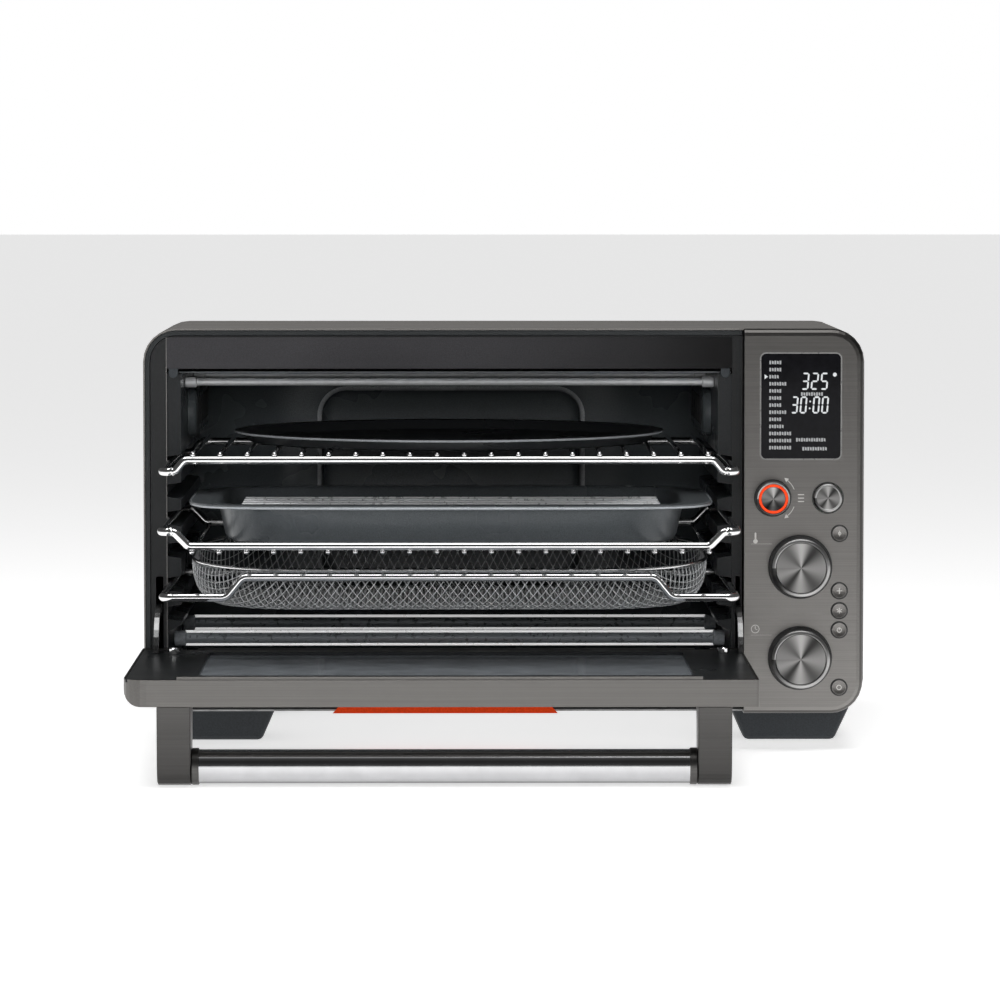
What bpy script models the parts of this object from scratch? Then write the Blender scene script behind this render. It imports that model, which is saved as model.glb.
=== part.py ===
"""Countertop toaster oven with its door open and its racks drawn out.

Sizes are in millimetres here and are turned into metres by MM where an object is made.
x runs across the front from left to right, y runs back from the front frame, z runs up
from the table. FRONT_Y puts the front frame where the whole object is centred on the origin.
"""

import math

import bmesh
import bpy
from mathutils import Matrix, Vector

MM = 0.001
GAP = 0.3  # clearance between neighbouring pieces
MERGE = 0.00001  # weld distance in metres

# ---- driving dimensions ----
BODY_HALF_WIDTH = 273.0
BODY_TOP = 319.0
BODY_BOTTOM = 28.0
BODY_DEPTH = 358.0
FALL_START, TOP_FALL = 205.0, 6.0  # where the top begins to slope down to the rear, and by how much
CORNER_RADIUS = 25.0
SHEET = 1.2
DOOR_REACH = 268.0
REAR_REACH = 365.0
FRONT_Y = (DOOR_REACH - REAR_REACH) / 2

OPENING = (-255.4, 173.0, 56.0, 290.5)  # x low, x high, z low, z high
CAVITY_X = (OPENING[0] + OPENING[1]) / 2
CAVITY_BACK = 306.0
RIDGE_HALF = 203.5  # cavity half width at the ridges between rack grooves
GROOVE_HALF = 215.4
GROOVE_LEVELS = (103.0, 125.0, 151.0, 175.2, 196.0, 217.3)
WALL_BOTTOM, WALL_TOP = 44.0, 285.0
HEATER_Y = {"front": 60.0, "rear": 200.0}
COVER = (99.0, 300.0, 232.0, 270.0)  # y and z of the lamp cover and of the fan grille
LAMP_X, LAMP_Z = -246.0, 251.0
RECESS = (-145.5, 65.0, 100.0, 259.0)  # pan recess in the back wall
RECESS_BACK = 340.0

PIVOT = (-17.0, 64.5)  # y and z of the door's hinge axis
DOOR_X = (-273.0, 179.0)
DOOR_Z = (58.8, 78.0)
DOOR_CORNER = 17.0
DOOR_ROUND = 12.0  # radius of the door's outer left edge
SKIN = 1.5  # the door frame's wall
WINDOW = (-221.0, 134.0, -231.0, -50.0)
HINGE_X = (-237.0, 150.0)
ARM_X = (-262.6, 175.2)
ARM_WIDTH = 3.6
ARM_INNER, ARM_OUTER, ARM_TIP = 41.0, 47.0, 126.0  # radii about the hinge axis and end angle
HINGE_PIN = 3.0
BAR_Y, BAR_Z, BAR_RADIUS = -246.0, 14.2, 12.2
BRACKET_X = ((-249.2, -225.0), (136.0, 160.2))

RACK_HALF = 210.9
RACK_DEPTH = 269.0
FRAME_WIRE = 3.0
CROSS_WIRE = 1.9
CROSS_COUNT, CROSS_PITCH, CROSS_SHIFT = 20, 19.9, 1.0
UPPER_RACK = (-125.0, 217.3, 8.6)  # front y, ear z, rise of the rails above the ears
UPPER_BEND = (194.5, 201.5)  # half widths between which the rails bend down to the ears
MIDDLE_RACK = (-145.0, 175.2, -10.6)
MIDDLE_BEND = (190.5, 201.0)
BASKET_Y, BASKET_Z, BASKET_RISE = -127.0, 124.8, 15.8
BASKET_BEND = (152.0, 164.0)
BASKET_DEPTH = 251.0
PAN_RADIUS, PAN_Y, PAN_Z = 164.0, 35.0, 232.3
ROASTER_X, ROASTER_Y, ROASTER_Z = -40.0, -11.5, 163.3
BROIL_HALF, BROIL_Y, BROIL_COUNT, BROIL_PITCH, BROIL_WIRE = 156.0, -66.0, 4, 24.0, 1.4
TRAY_Y, TRAY_Z = 158.0, 32.0

PANEL_X = (181.5, 271.5)
PANEL_FRONT = -17.5
PANEL_WALL = 2.0
PANEL_EDGE, PANEL_CORNER = 5.0, 24.0  # rounding of the panel's edge and its outer corners
BOARD_Y, BOARD_WALL = -7.3, 1.6
ENCODER = 6.5  # half size of an encoder's body
BUTTON_STEM = 6.4
KNOB_X = 223.8
KNOB_LEVELS = {"temperature": 139.4, "time": 70.3}
KNOB_RADIUS = 23.4
SELECT = (202.9, 191.5, 13.5)
START = (244.6, 191.7, 11.0)
SMALL_X, SMALL_RADIUS = 253.5, 6.0
SMALL_BUTTONS = {
    "unit_button": 164.8,
    "convection_button": 121.3,
    "frozen_button": 106.2,
    "repeat_button": 91.6,
    "light_button": 48.0,
}
DISPLAY = (193.6, 254.4, 221.0, 301.0)
FAN_Y, FAN_Z, FAN_RADIUS = 185.0, 195.0, 52.0

MATERIALS = {  # colour, metallic, roughness
    "casing": ((0.10, 0.10, 0.10), 0.6, 0.45),
    "black_stainless": ((0.23, 0.21, 0.20), 1.0, 0.35),
    "trim": ((0.03, 0.03, 0.03), 0.2, 0.4),
    "enamel": ((0.04, 0.045, 0.05), 0.3, 0.35),
    "galvanised": ((0.45, 0.45, 0.45), 1.0, 0.5),
    "chrome": ((0.8, 0.8, 0.8), 1.0, 0.12),
    "quartz": ((0.55, 0.55, 0.55), 0.3, 0.3),
    "glass": ((0.03, 0.035, 0.04), 0.0, 0.05),
    "rubber": ((0.03, 0.035, 0.04), 0.0, 0.6),
    "orange": ((0.80, 0.16, 0.05), 0.0, 0.4),
    "board": ((0.03, 0.15, 0.06), 0.0, 0.6),
    "mesh": ((0.6, 0.6, 0.6), 1.0, 0.3),
}

PLANES = {  # outline plane: the matrix that stands it up
    "xy": Matrix(((1, 0, 0), (0, 1, 0), (0, 0, 1))),
    "xz": Matrix(((1, 0, 0), (0, 0, -1), (0, 1, 0))),
    "yz": Matrix(((0, 0, 1), (1, 0, 0), (0, 1, 0))),
}

for old in list(bpy.data.objects):
    bpy.data.objects.remove(old, do_unlink=True)

parts = bpy.data.collections.new("toaster_oven")
cutters = bpy.data.collections.new("cutters")
for group in (parts, cutters):
    bpy.context.scene.collection.children.link(group)


# ---- helpers ----
def material(slot):
    found = bpy.data.materials.get(slot)
    if found:
        return found
    colour, metallic, roughness = MATERIALS[slot]
    made = bpy.data.materials.new(slot)
    made.use_nodes = True
    shader = made.node_tree.nodes["Principled BSDF"]
    shader.inputs["Base Color"].default_value = (*colour, 1.0)
    shader.inputs["Metallic"].default_value = metallic
    shader.inputs["Roughness"].default_value = roughness
    return made


def at(x, y, z):
    """A point in metres, from millimetres with y measured from the front frame."""
    return Vector((x, y + FRONT_Y, z)) * MM


def add(name, mesh, slot=None, matrix=None):
    """Puts a mesh in the scene: a part where it has a material, otherwise a cutter."""
    made = bpy.data.objects.new(name, mesh)
    if slot:
        mesh.materials.clear()
        mesh.materials.append(material(slot))
        parts.objects.link(made)
    else:
        cutters.objects.link(made)
        made.hide_render = True
        made.display_type = "WIRE"
    if matrix is not None:
        made.matrix_world = matrix
    return made


def mesh_of(curve_object):
    """The welded mesh of a curve object, which is removed."""
    bpy.context.scene.collection.objects.link(curve_object)
    graph = bpy.context.evaluated_depsgraph_get()
    mesh = bpy.data.meshes.new_from_object(curve_object.evaluated_get(graph))
    bpy.data.objects.remove(curve_object, do_unlink=True)
    work = bmesh.new()
    work.from_mesh(mesh)
    bmesh.ops.remove_doubles(work, verts=work.verts, dist=MERGE)
    bmesh.ops.recalc_face_normals(work, faces=work.faces)
    work.to_mesh(mesh)
    work.free()
    return mesh


def smooth(made, degrees=35.0):
    made.data.shade_smooth()
    made.data.set_sharp_from_angle(angle=math.radians(degrees))
    return made


def bevel(made, width, segments=2, degrees=30.0):
    modifier = made.modifiers.new("edges", "BEVEL")
    modifier.width = width * MM
    modifier.segments = segments
    modifier.limit_method = "ANGLE"
    modifier.angle_limit = math.radians(degrees)
    return made


def box(name, low, high, slot=None):
    mesh = bpy.data.meshes.new(name)
    work = bmesh.new()
    bmesh.ops.create_cube(work, size=1.0)
    size = Vector(high) - Vector(low)
    bmesh.ops.scale(work, vec=size * MM, verts=work.verts)
    work.to_mesh(mesh)
    work.free()
    middle = (Vector(low) + Vector(high)) / 2
    return add(name, mesh, slot, Matrix.Translation(at(*middle)))


def rounded(points, radii, steps=5, closed=True):
    """A polyline with each corner turned into an arc."""
    points = [Vector(p) for p in points]
    if not hasattr(radii, "__len__"):
        radii = [radii] * len(points)
    path = []
    for i, corner in enumerate(points):
        ends = not closed and i in (0, len(points) - 1)
        if ends or not radii[i]:
            path.append(corner)
            continue
        back = (points[i - 1] - corner).normalized()
        on = (points[(i + 1) % len(points)] - corner).normalized()
        half = back.angle(on) / 2
        centre = corner + (back + on).normalized() * radii[i] / math.sin(half)
        start = corner + back * radii[i] / math.tan(half) - centre
        end = corner + on * radii[i] / math.tan(half) - centre
        turn = math.pi - 2 * half
        for k in range(steps + 1):
            share = k / steps
            mix = start * math.sin((1 - share) * turn) + end * math.sin(share * turn)
            path.append(centre + mix / math.sin(turn))
    return path


def rectangle(x0, x1, y0, y1, radius=0.0, steps=5):
    return rounded([(x0, y0), (x1, y0), (x1, y1), (x0, y1)], radius, steps)


def circle(x, y, radius, steps=24):
    turns = [2 * math.pi * k / steps for k in range(steps)]
    return [(x + radius * math.cos(a), y + radius * math.sin(a)) for a in turns]


def prism(name, plane, loops, low, high, slot=None):
    """Flat outlines, the inner ones being holes, extruded across their plane."""
    curve = bpy.data.curves.new(name, "CURVE")
    curve.dimensions = "2D"
    curve.fill_mode = "BOTH"
    curve.extrude = (high - low) / 2 * MM
    shift = FRONT_Y if plane in ("xy", "yz") else 0.0
    for loop in loops:
        spline = curve.splines.new("POLY")
        spline.points.add(len(loop) - 1)
        spline.use_cyclic_u = True
        for point, (u, v) in zip(spline.points, loop):
            if plane == "yz":
                u += shift
            elif plane == "xy":
                v += shift
            point.co = (u * MM, v * MM, 0.0, 1.0)
    mesh = mesh_of(bpy.data.objects.new(name, curve))
    turn = PLANES[plane].to_4x4()
    middle = (low + high) / 2 * MM
    if plane == "xz":
        middle = -(low + high + 2 * FRONT_Y) / 2 * MM
    return add(name, mesh, slot, turn @ Matrix.Translation((0, 0, middle)))


def thicken(made, thickness, side):
    modifier = made.modifiers.new("sheet", "SOLIDIFY")
    modifier.thickness = thickness * MM
    modifier.offset = side
    modifier.use_even_offset = True
    return made


def sheet(name, path, low, high, slot, thickness, side=-1.0):
    """An open bent strip of sheet metal: a path of (x, z) drawn from y low to high."""
    mesh = bpy.data.meshes.new(name)
    work = bmesh.new()
    rows = [[work.verts.new(at(x, y, z)) for x, z in path] for y in (low, high)]
    for k in range(len(path) - 1):
        work.faces.new((rows[0][k], rows[0][k + 1], rows[1][k + 1], rows[1][k]))
    work.to_mesh(mesh)
    work.free()
    return thicken(add(name, mesh, slot), thickness, side)


def tube(name, points, radius, slot=None, closed=False, resolution=1):
    curve = bpy.data.curves.new(name, "CURVE")
    curve.dimensions = "3D"
    curve.bevel_depth = radius * MM
    curve.bevel_resolution = resolution
    curve.use_fill_caps = True
    spline = curve.splines.new("POLY")
    spline.points.add(len(points) - 1)
    spline.use_cyclic_u = closed
    for point, place in zip(spline.points, points):
        point.co = (*at(*place), 1.0)
    return smooth(add(name, mesh_of(bpy.data.objects.new(name, curve)), slot))


def turned(name, profile, origin, axis, slot=None, steps=32):
    """A profile of (radius, height) from its top down its outer side, turned on an axis."""
    mesh = bpy.data.meshes.new(name)
    points = [(radius * MM, 0.0, height * MM) for radius, height in profile]
    mesh.from_pydata(points, [(k, k + 1) for k in range(len(points) - 1)], [])
    turn = Vector(axis).to_track_quat("Z", "Y").to_matrix().to_4x4()
    made = add(name, mesh, slot, Matrix.Translation(at(*origin)) @ turn)
    modifier = made.modifiers.new("turn", "SCREW")
    modifier.steps = modifier.render_steps = steps
    modifier.use_merge_vertices = True
    modifier.merge_threshold = MERGE
    return made


def rod(name, start, axis, radius, length, slot=None, steps=24, edge=0.0):
    """A plain or chamfered round bar."""
    rim = [(radius - edge, length), (radius, length - edge)] if edge else [(radius, length)]
    return turned(name, [(0, length), *rim, (radius, 0), (0, 0)], start, axis, slot, steps)


def loft(name, loops, slot, thickness=0.0):
    """Closed loops of equal length joined in turn and filled at the end.

    With a thickness it is a thin wall, open at the first loop, otherwise it is solid.
    """
    mesh = bpy.data.meshes.new(name)
    work = bmesh.new()
    rows = [[work.verts.new(at(*p)) for p in loop] for loop in loops]
    for upper, lower in zip(rows, rows[1:]):
        for k in range(len(upper)):
            n = (k + 1) % len(upper)
            work.faces.new((upper[k], upper[n], lower[n], lower[k]))
    work.faces.new(rows[-1])
    if not thickness:
        work.faces.new(rows[0])
    bmesh.ops.recalc_face_normals(work, faces=work.faces)
    work.to_mesh(mesh)
    work.free()
    made = smooth(add(name, mesh, slot))
    return thicken(made, thickness, 0.0) if thickness else made


def boolean(made, other, operation):
    modifier = made.modifiers.new(other.name, "BOOLEAN")
    modifier.operation = operation
    modifier.object = other
    return made


def cut(made, *others):
    for other in others:
        boolean(made, other, "DIFFERENCE")
    return made


def join(made, *others):
    for other in others:
        boolean(made, other, "UNION")
    return made


def repeat(made, count, step):
    modifier = made.modifiers.new("row", "ARRAY")
    modifier.count = count
    modifier.use_relative_offset = False
    modifier.use_constant_offset = True
    turn = made.matrix_world.to_3x3().inverted()
    modifier.constant_offset_displace = turn @ (Vector(step) * MM)
    modifier.use_merge_vertices = False
    return made


def hang_on(name, place, *pieces):
    """An empty on a joint's axis, carrying the pieces that move with it."""
    empty = bpy.data.objects.new(name, None)
    empty.location = at(*place)
    parts.objects.link(empty)
    bpy.context.view_layer.update()
    for piece in pieces:
        piece.parent = empty
        piece.matrix_parent_inverse = empty.matrix_world.inverted()
    return empty


# ---- casing ----
def casing_path(fall):
    """The casing's outline seen from the front, open along the bottom, its top lowered by fall."""
    half, top = BODY_HALF_WIDTH, BODY_TOP - fall
    turn_in = 240
    corners = [
        (-turn_in, BODY_BOTTOM), (-half, BODY_BOTTOM), (-half, top),
        (half, top), (half, BODY_BOTTOM), (turn_in, BODY_BOTTOM),
    ]
    return rounded(corners, CORNER_RADIUS, 6, closed=False)


def make_shell():
    """One bent sheet, level on top and then falling a little towards the rear."""
    mesh = bpy.data.meshes.new("outer_shell")
    work = bmesh.new()
    rows = []
    for y, fall in ((0.0, 0.0), (FALL_START, 0.0), (BODY_DEPTH, TOP_FALL)):
        rows.append([work.verts.new(at(x, y, z)) for x, z in casing_path(fall)])
    for front, rear in zip(rows, rows[1:]):
        for k in range(len(front) - 1):
            work.faces.new((front[k], front[k + 1], rear[k + 1], rear[k]))
    work.to_mesh(mesh)
    work.free()
    return thicken(add("outer_shell", mesh, "casing"), SHEET, -1.0)


def vent_row(name, plane, outline, span, count, step):
    """A cutter for a row of slots."""
    return repeat(prism(name, plane, [outline], *span), count, step)


def make_casing():
    shell = make_shell()
    outline = rectangle(285, 331, 150, 154)
    for side, x in (("left", -BODY_HALF_WIDTH), ("right", BODY_HALF_WIDTH)):
        cut(shell, vent_row(f"{side}_side_vents", "yz", outline, (x - 5, x + 5), 10, (0, 0, 12)))
    outline = rectangle(-212, -158, 208, 214)
    cut(shell, vent_row("top_vents", "xy", outline, (BODY_TOP - 5, BODY_TOP + 5), 6, (74, 0, 0)))

    half = 239.4
    base = box("base_pan", (-half, 4, BODY_BOTTOM), (half, BODY_DEPTH - 1, BODY_BOTTOM + SHEET), "galvanised")
    outline = rectangle(195, 230, 150, 154)
    cut(base, vent_row("floor_vents", "xy", outline, (BODY_BOTTOM - 3, BODY_BOTTOM + 5), 8, (0, 12, 0)))
    make_rear()
    for end, y in (("front", 50), ("rear", 250)):
        for side in (-1, 1):
            foot(f"{end}_{'left' if side < 0 else 'right'}_foot", side, y)


def make_rear():

    low = BODY_DEPTH + GAP
    half, top = BODY_HALF_WIDTH, BODY_TOP - TOP_FALL
    outline = rectangle(-half, half, BODY_BOTTOM, top, CORNER_RADIUS, 6)
    rear = prism("rear_panel", "xz", [outline], low, low + SHEET, "casing")
    margin, corner = 6.0, 20.0
    boss = (RECESS[0] - margin, RECESS[1] + margin, RECESS[2] - margin, RECESS[3] + margin)
    join(rear, prism("rear_boss", "xz", [rectangle(*boss, corner)], low + 0.4, REAR_REACH))
    inner = (boss[0] + SHEET, boss[1] - SHEET, boss[2] + SHEET, boss[3] - SHEET)
    hollow = rectangle(*inner, corner - SHEET)
    cut(rear, prism("rear_boss_hollow", "xz", [hollow], low - 2, REAR_REACH - SHEET))
    outline = rectangle(190, 250, 200, 203.6)
    cut(rear, vent_row("rear_vents", "xz", outline, (low - 3, low + 5), 8, (0, 0, 10)))
    inlet_x, inlet_z = 225, 62
    cut(rear, rod("cord_hole", (inlet_x, low - 4, inlet_z), (0, 1, 0), 9.0, 10))
    gland = [(0, 5.2), (5.5, 5.2), (7.5, 4.6), (12, 1.6), (12, 0.3), (8.6, 0.3), (8.6, -4), (0, -4)]
    turned("cord_inlet", gland, (inlet_x, low + SHEET, inlet_z), (0, 1, 0), "rubber", 24)


def foot(name, side, y):
    """A moulded block that narrows downwards."""
    mesh = bpy.data.meshes.new(name)
    work = bmesh.new()
    bmesh.ops.create_cube(work, size=1.0)
    top, bottom, height = (93.0, 70.0), (69.0, 52.0), BODY_BOTTOM - GAP
    for vertex in work.verts:
        width, depth = top if vertex.co.z > 0 else bottom
        vertex.co = Vector((vertex.co.x * width, vertex.co.y * depth, vertex.co.z * height)) * MM
    work.to_mesh(mesh)
    work.free()
    from_centre = 220.7
    made = add(name, mesh, "rubber", Matrix.Translation(at(side * from_centre, y + top[1] / 2, height / 2)))
    return bevel(made, 3.0, 2)


def make_front():
    left, right, low, high = OPENING
    trim = 3.5
    inset = SHEET + trim + 2 * GAP
    half, top = BODY_HALF_WIDTH - inset, BODY_TOP - inset
    corner = CORNER_RADIUS - inset
    end, foot_edge = PANEL_X[0] - 0.5, BODY_BOTTOM + 2
    corners = [(-half, foot_edge), (end, foot_edge), (end, top), (-half, top)]
    outline = rounded(corners, [CORNER_RADIUS - 1, 0.5, 0.5, corner])
    holes = [
        rectangle(left, right, low, high, 1.5, 2),
        rectangle(-206.6, 124.6, 31, 40, 1, 2),
        rectangle(-264.0, -257.8, 60, 131, 1.5, 2),
        rectangle(174.6, 179.4, 60, 131, 1.5, 2),
    ]
    prism("front_frame", "xz", [outline] + holes, 1.6, 2.8, "trim")
    outline = rectangle(left + 0.2, right - 0.2, high - 1.5, top - SHEET, 0.6, 2)
    header = prism("header_panel", "xz", [outline], 0.2, 1.3, "black_stainless")
    join(header, box("header_lip", (left + 1, 1.0, high - 1.9), (right - 1, 12, high - 0.7)))
    inset = SHEET + GAP
    half, top = BODY_HALF_WIDTH - inset, BODY_TOP - inset
    corners = [(-half, 60), (-half, top), (PANEL_X[0] - 0.9, top)]
    path = rounded(corners, CORNER_RADIUS - inset, 6, closed=False)
    sheet("bezel_trim", path, 0.4, 8, "trim", trim)


# ---- cavity ----
def wall_path(side):
    """A side wall seen from the front: ridges with a groove at each rack level."""
    ridge, groove = CAVITY_X + side * RIDGE_HALF, CAVITY_X + side * GROOVE_HALF
    path = [(groove, WALL_BOTTOM), (groove, 88), (ridge, 94)]
    for level in GROOVE_LEVELS:
        for x, z in ((ridge, -6.5), (groove, -4.6), (groove, 4.6), (ridge, 6.5)):
            path.append((x, level + z))
    return path + [(ridge, WALL_TOP - 0.5)]


def make_cavity():
    walls = {}
    wall = 0.8
    for side, name in ((-1, "left"), (1, "right")):
        walls[name] = sheet(f"cavity_{name}_wall", wall_path(side), 4, CAVITY_BACK, "enamel", wall, -side)
    cut(walls["left"], box("lamp_hole", (LAMP_X - 16, 140, LAMP_Z - 13), (LAMP_X + 16, 260, LAMP_Z + 13)))
    fan_slot = rectangle(120, 280, 239, 243)
    cut(walls["right"], vent_row("fan_slots", "yz", fan_slot, (150, 180), 4, (0, 0, 7)))
    left, right = CAVITY_X - GROOVE_HALF, CAVITY_X + GROOVE_HALF
    box("cavity_top_wall", (left, 14, WALL_TOP), (right, CAVITY_BACK, WALL_TOP + 1), "enamel")
    low = CAVITY_BACK + GAP
    outline = rectangle(left, right, WALL_BOTTOM, WALL_TOP + 1, 1, 2)
    back = prism("cavity_back_wall", "xz", [outline], low, low + wall, "enamel")
    corner = 20.0
    outer = rectangle(RECESS[0] - 1, RECESS[1] + 1, RECESS[2] - 1, RECESS[3] + 1, corner + 1, 8)
    join(back, prism("recess_outside", "xz", [outer], low + 0.3, RECESS_BACK + 1))
    cut(back, prism("recess_inside", "xz", [rectangle(*RECESS, corner, 8)], low - 4, RECESS_BACK))

    for end, y in HEATER_Y.items():
        make_heater(f"heater_top_{end}", y, 276.4, 2 * RIDGE_HALF - 0.8, 3.0, 4.4)
        make_heater(f"heater_bottom_{end}", y, 79.0, 2 * GROOVE_HALF - 7.0, 4.8, 6.0)
    make_cover("lamp_cover", -1)
    make_cover("fan_grille", 1)
    rod("lamp_bulb", (LAMP_X, 185, LAMP_Z), (0, 1, 0), 4.0, 32, "quartz", 16, edge=2.0)
    box("heat_shield", (183, 6, 34), (184, 350, BODY_TOP - TOP_FALL - 2), "galvanised")
    make_fan()


def make_heater(name, y, z, wide, radius, end):
    """A quartz tube with a thicker holder at each end."""
    holder = 9
    profile = [
        (0, wide), (end, wide), (end, wide - holder), (radius, wide - holder),
        (radius, holder), (end, holder), (end, 0), (0, 0),
    ]
    turned(name, profile, (CAVITY_X - wide / 2, y, z), (1, 0, 0), "quartz", 16)


def make_cover(name, side):
    """A hollow oval cover with slots, raised from a side wall of the cavity."""
    y0, y1, z0, z1 = COVER
    wall, depth = 2.0, 7.0
    corner = (z1 - z0) / 2 - 0.1
    face = CAVITY_X + side * (RIDGE_HALF - GAP)
    low, high = sorted((face, face - side * depth))
    cover = prism(name, "yz", [rectangle(y0, y1, z0, z1, corner)], low, high, "enamel")
    hollow = rectangle(y0 + wall, y1 - wall, z0 + wall, z1 - wall, corner - wall)
    span = sorted((face + side * 3, face - side * (depth - 1.4)))
    cut(cover, prism(f"{name}_hollow", "yz", [hollow], *span))
    slot = rectangle(125, 129, z0 + 8, z1 - 8)
    cut(cover, vent_row(f"{name}_slots", "yz", slot, (low - 4, high + 4), 11, (0, 14.5, 0)))


def make_fan():
    front = 196.0
    blades = 7
    hub = rod("fan_wheel", (front, FAN_Y, FAN_Z), (1, 0, 0), 9.0, 14.0, "galvanised", 16)
    centre = Matrix.Translation(at(front + 7, FAN_Y, FAN_Z))
    for k in range(blades):
        low, high = (front + 2, FAN_Y + 4, FAN_Z - 0.6), (front + 12, FAN_Y + FAN_RADIUS, FAN_Z + 0.6)
        blade = box(f"fan_blade_{k}", low, high)
        turn = Matrix.Rotation(2 * math.pi * k / blades, 4, "X")
        blade.matrix_world = centre @ turn @ centre.inverted() @ blade.matrix_world
        join(hub, blade)
    plate = [circle(FAN_Y, FAN_Z, FAN_RADIUS - 4, 28)]
    join(hub, prism("fan_back_plate", "yz", plate, front + 10.5, front + 11.6))
    cut(hub, rod("fan_bore", (front - 6, FAN_Y, FAN_Z), (1, 0, 0), 2.8, 30.0, steps=16))
    motor = [(0, 50), (30, 50), (30, 20), (9, 20), (9, 17), (2.4, 17), (2.4, 0), (0, 0)]
    turned("fan_motor", motor, (front, FAN_Y, FAN_Z), (1, 0, 0), "galvanised", 24)


# ---- control panel ----
def make_panel():
    """A hollow plate with a rounded edge, square on its left, with a hole for each control."""
    x0, x1 = PANEL_X
    shape = [(-GAP, 0.0)]
    for degrees in (0, 30, 60, 90):
        turn = math.radians(degrees)
        shape.append((PANEL_FRONT + PANEL_EDGE * (1 - math.sin(turn)), PANEL_EDGE * (1 - math.cos(turn))))
    loops = []
    for y, inset in shape:
        low, high, end = BODY_BOTTOM + inset, BODY_TOP - inset, x1 - inset
        outline = rectangle(x0 - 40, end, low, high, PANEL_CORNER - inset, 7)
        loops.append([(x, y, z) for x, z in outline])
    panel = loft("control_panel", loops, "black_stainless")
    cut(panel, box("panel_left_end", (x0 - 60, -40, 0), (x0, 10, 340)))
    inner = rectangle(x0 + PANEL_WALL, x1 - 6, BODY_BOTTOM + 6, BODY_TOP - 6, 18, 4)
    cut(panel, prism("panel_hollow", "xz", [inner], PANEL_FRONT + PANEL_WALL, 5))
    cut(panel, prism("display_hole", "xz", [rectangle(*DISPLAY, 4, 3)], -30, 5))
    holes = {f"{name}_knob": (KNOB_X, z, 4.0) for name, z in KNOB_LEVELS.items()}
    holes["select"] = (*SELECT[:2], 4.0)
    holes["start"] = (*START[:2], START[2] + 0.5)
    holes.update({name: (SMALL_X, z, SMALL_RADIUS + 0.4) for name, z in SMALL_BUTTONS.items()})
    for name, (x, z, radius) in holes.items():
        cut(panel, rod(f"{name}_hole", (x, -30, z), (0, 1, 0), radius, 25, steps=16))


def make_board():
    """The circuit board with the display module and an encoder behind each dial."""
    a, b, c, d = DISPLAY
    glass = rectangle(a + GAP, b - GAP, c + GAP, d - GAP, 3.7, 3)
    prism("display_window", "xz", [glass], PANEL_FRONT - 0.2, PANEL_FRONT + 1.8, "glass")
    low, high = (PANEL_X[0] + 6, BOARD_Y, 45), (PANEL_X[1] - 10, BOARD_Y + BOARD_WALL, 304)
    board = box("control_board", low, high, "board")
    low, high = (a + 2, PANEL_FRONT + 2.2, c + 2), (b - 2, BOARD_Y + 0.5, d - 2)
    join(board, box("display_module", low, high))
    encoders = {name: (KNOB_X, z) for name, z in KNOB_LEVELS.items()}
    encoders["select"] = SELECT[:2]
    for name, (x, z) in encoders.items():
        low, high = (x - ENCODER, BOARD_Y - 5.5, z - ENCODER), (x + ENCODER, BOARD_Y + 0.5, z + ENCODER)
        join(board, box(f"{name}_encoder", low, high))
        cut(board, rod(f"{name}_encoder_bore", (x, BOARD_Y - 9, z), (0, 1, 0), 3.3, 6.9, steps=12))


def make_controls():
    make_panel()
    make_board()
    for name, z in KNOB_LEVELS.items():
        make_knob(f"{name}_knob", z)
    x, z, radius = SELECT
    groove = radius - 1.3
    dial = [
        (0, 9.0), (radius - 4.6, 9.0), (radius - 4.1, 9.6), (radius - 4.1, 7.3), (groove, 7.3), (groove, 9.8),
        (radius, 9.0), (radius, 0), (3.4, 0), (3.4, 5.0), (0, 5.0),
    ]
    turned("select_dial", dial, (x, PANEL_FRONT - 1.8, z), (0, -1, 0), "black_stainless", 32)
    rod("select_shaft", (x, BOARD_Y - 3.8, z), (0, -1, 0), 3.0, 10.9, "galvanised", 16)

    x, z, radius = START
    cap = [(0, 3.2), (radius - 1.2, 3.4), (radius - 0.2, 2.8), (radius, 2.0), (radius, -BUTTON_STEM)]
    turned("start_button", cap + [(0, -BUTTON_STEM)], (x, PANEL_FRONT, z), (0, -1, 0), "black_stainless", 32)
    radius = SMALL_RADIUS
    cap = [(0, 1.6), (radius - 0.8, 1.6), (radius, 1.0), (radius, -BUTTON_STEM), (0, -BUTTON_STEM)]
    for name, level in SMALL_BUTTONS.items():
        turned(name, cap, (SMALL_X, PANEL_FRONT, level), (0, -1, 0), "black_stainless", 20)


def make_knob(name, z):
    """A dial with a chamfered rim, a slightly dished face and its own shaft."""
    radius, high, stem = KNOB_RADIUS, 15.0, 7.6
    profile = [
        (0, high - 0.9), (radius * 0.6, high - 0.6), (radius - 3.2, high), (radius - 1.6, high - 0.5),
        (radius - 0.9, high - 2.2), (radius, 1.2), (radius - 0.4, 0.6), (3.0, 0.6), (3.0, -stem), (0, -stem),
    ]
    turned(name, profile, (KNOB_X, PANEL_FRONT, z), (0, -1, 0), "black_stainless", 32)


# ---- door ----
def around_pivot(radius, degrees):
    """A point about the hinge axis, the angle running up from straight ahead."""
    turn = math.radians(degrees)
    return (PIVOT[0] - radius * math.cos(turn), PIVOT[1] + radius * math.sin(turn))


def door_section():
    """The door's side view: square at its free end and round about the hinge axis."""
    low, high = DOOR_Z
    edge = high - PIVOT[1]
    start = 180 + math.degrees(math.asin((PIVOT[1] - low) / edge))
    end = -DOOR_REACH - 5
    profile = [(end, high + 1), (end, low - 1), (-60, low - 1), (-60, low)]
    profile += [around_pivot(edge, start - (start - 90) * k / 6) for k in range(7)]
    return profile + [(-60, high), (-60, high + 1)]


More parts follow.
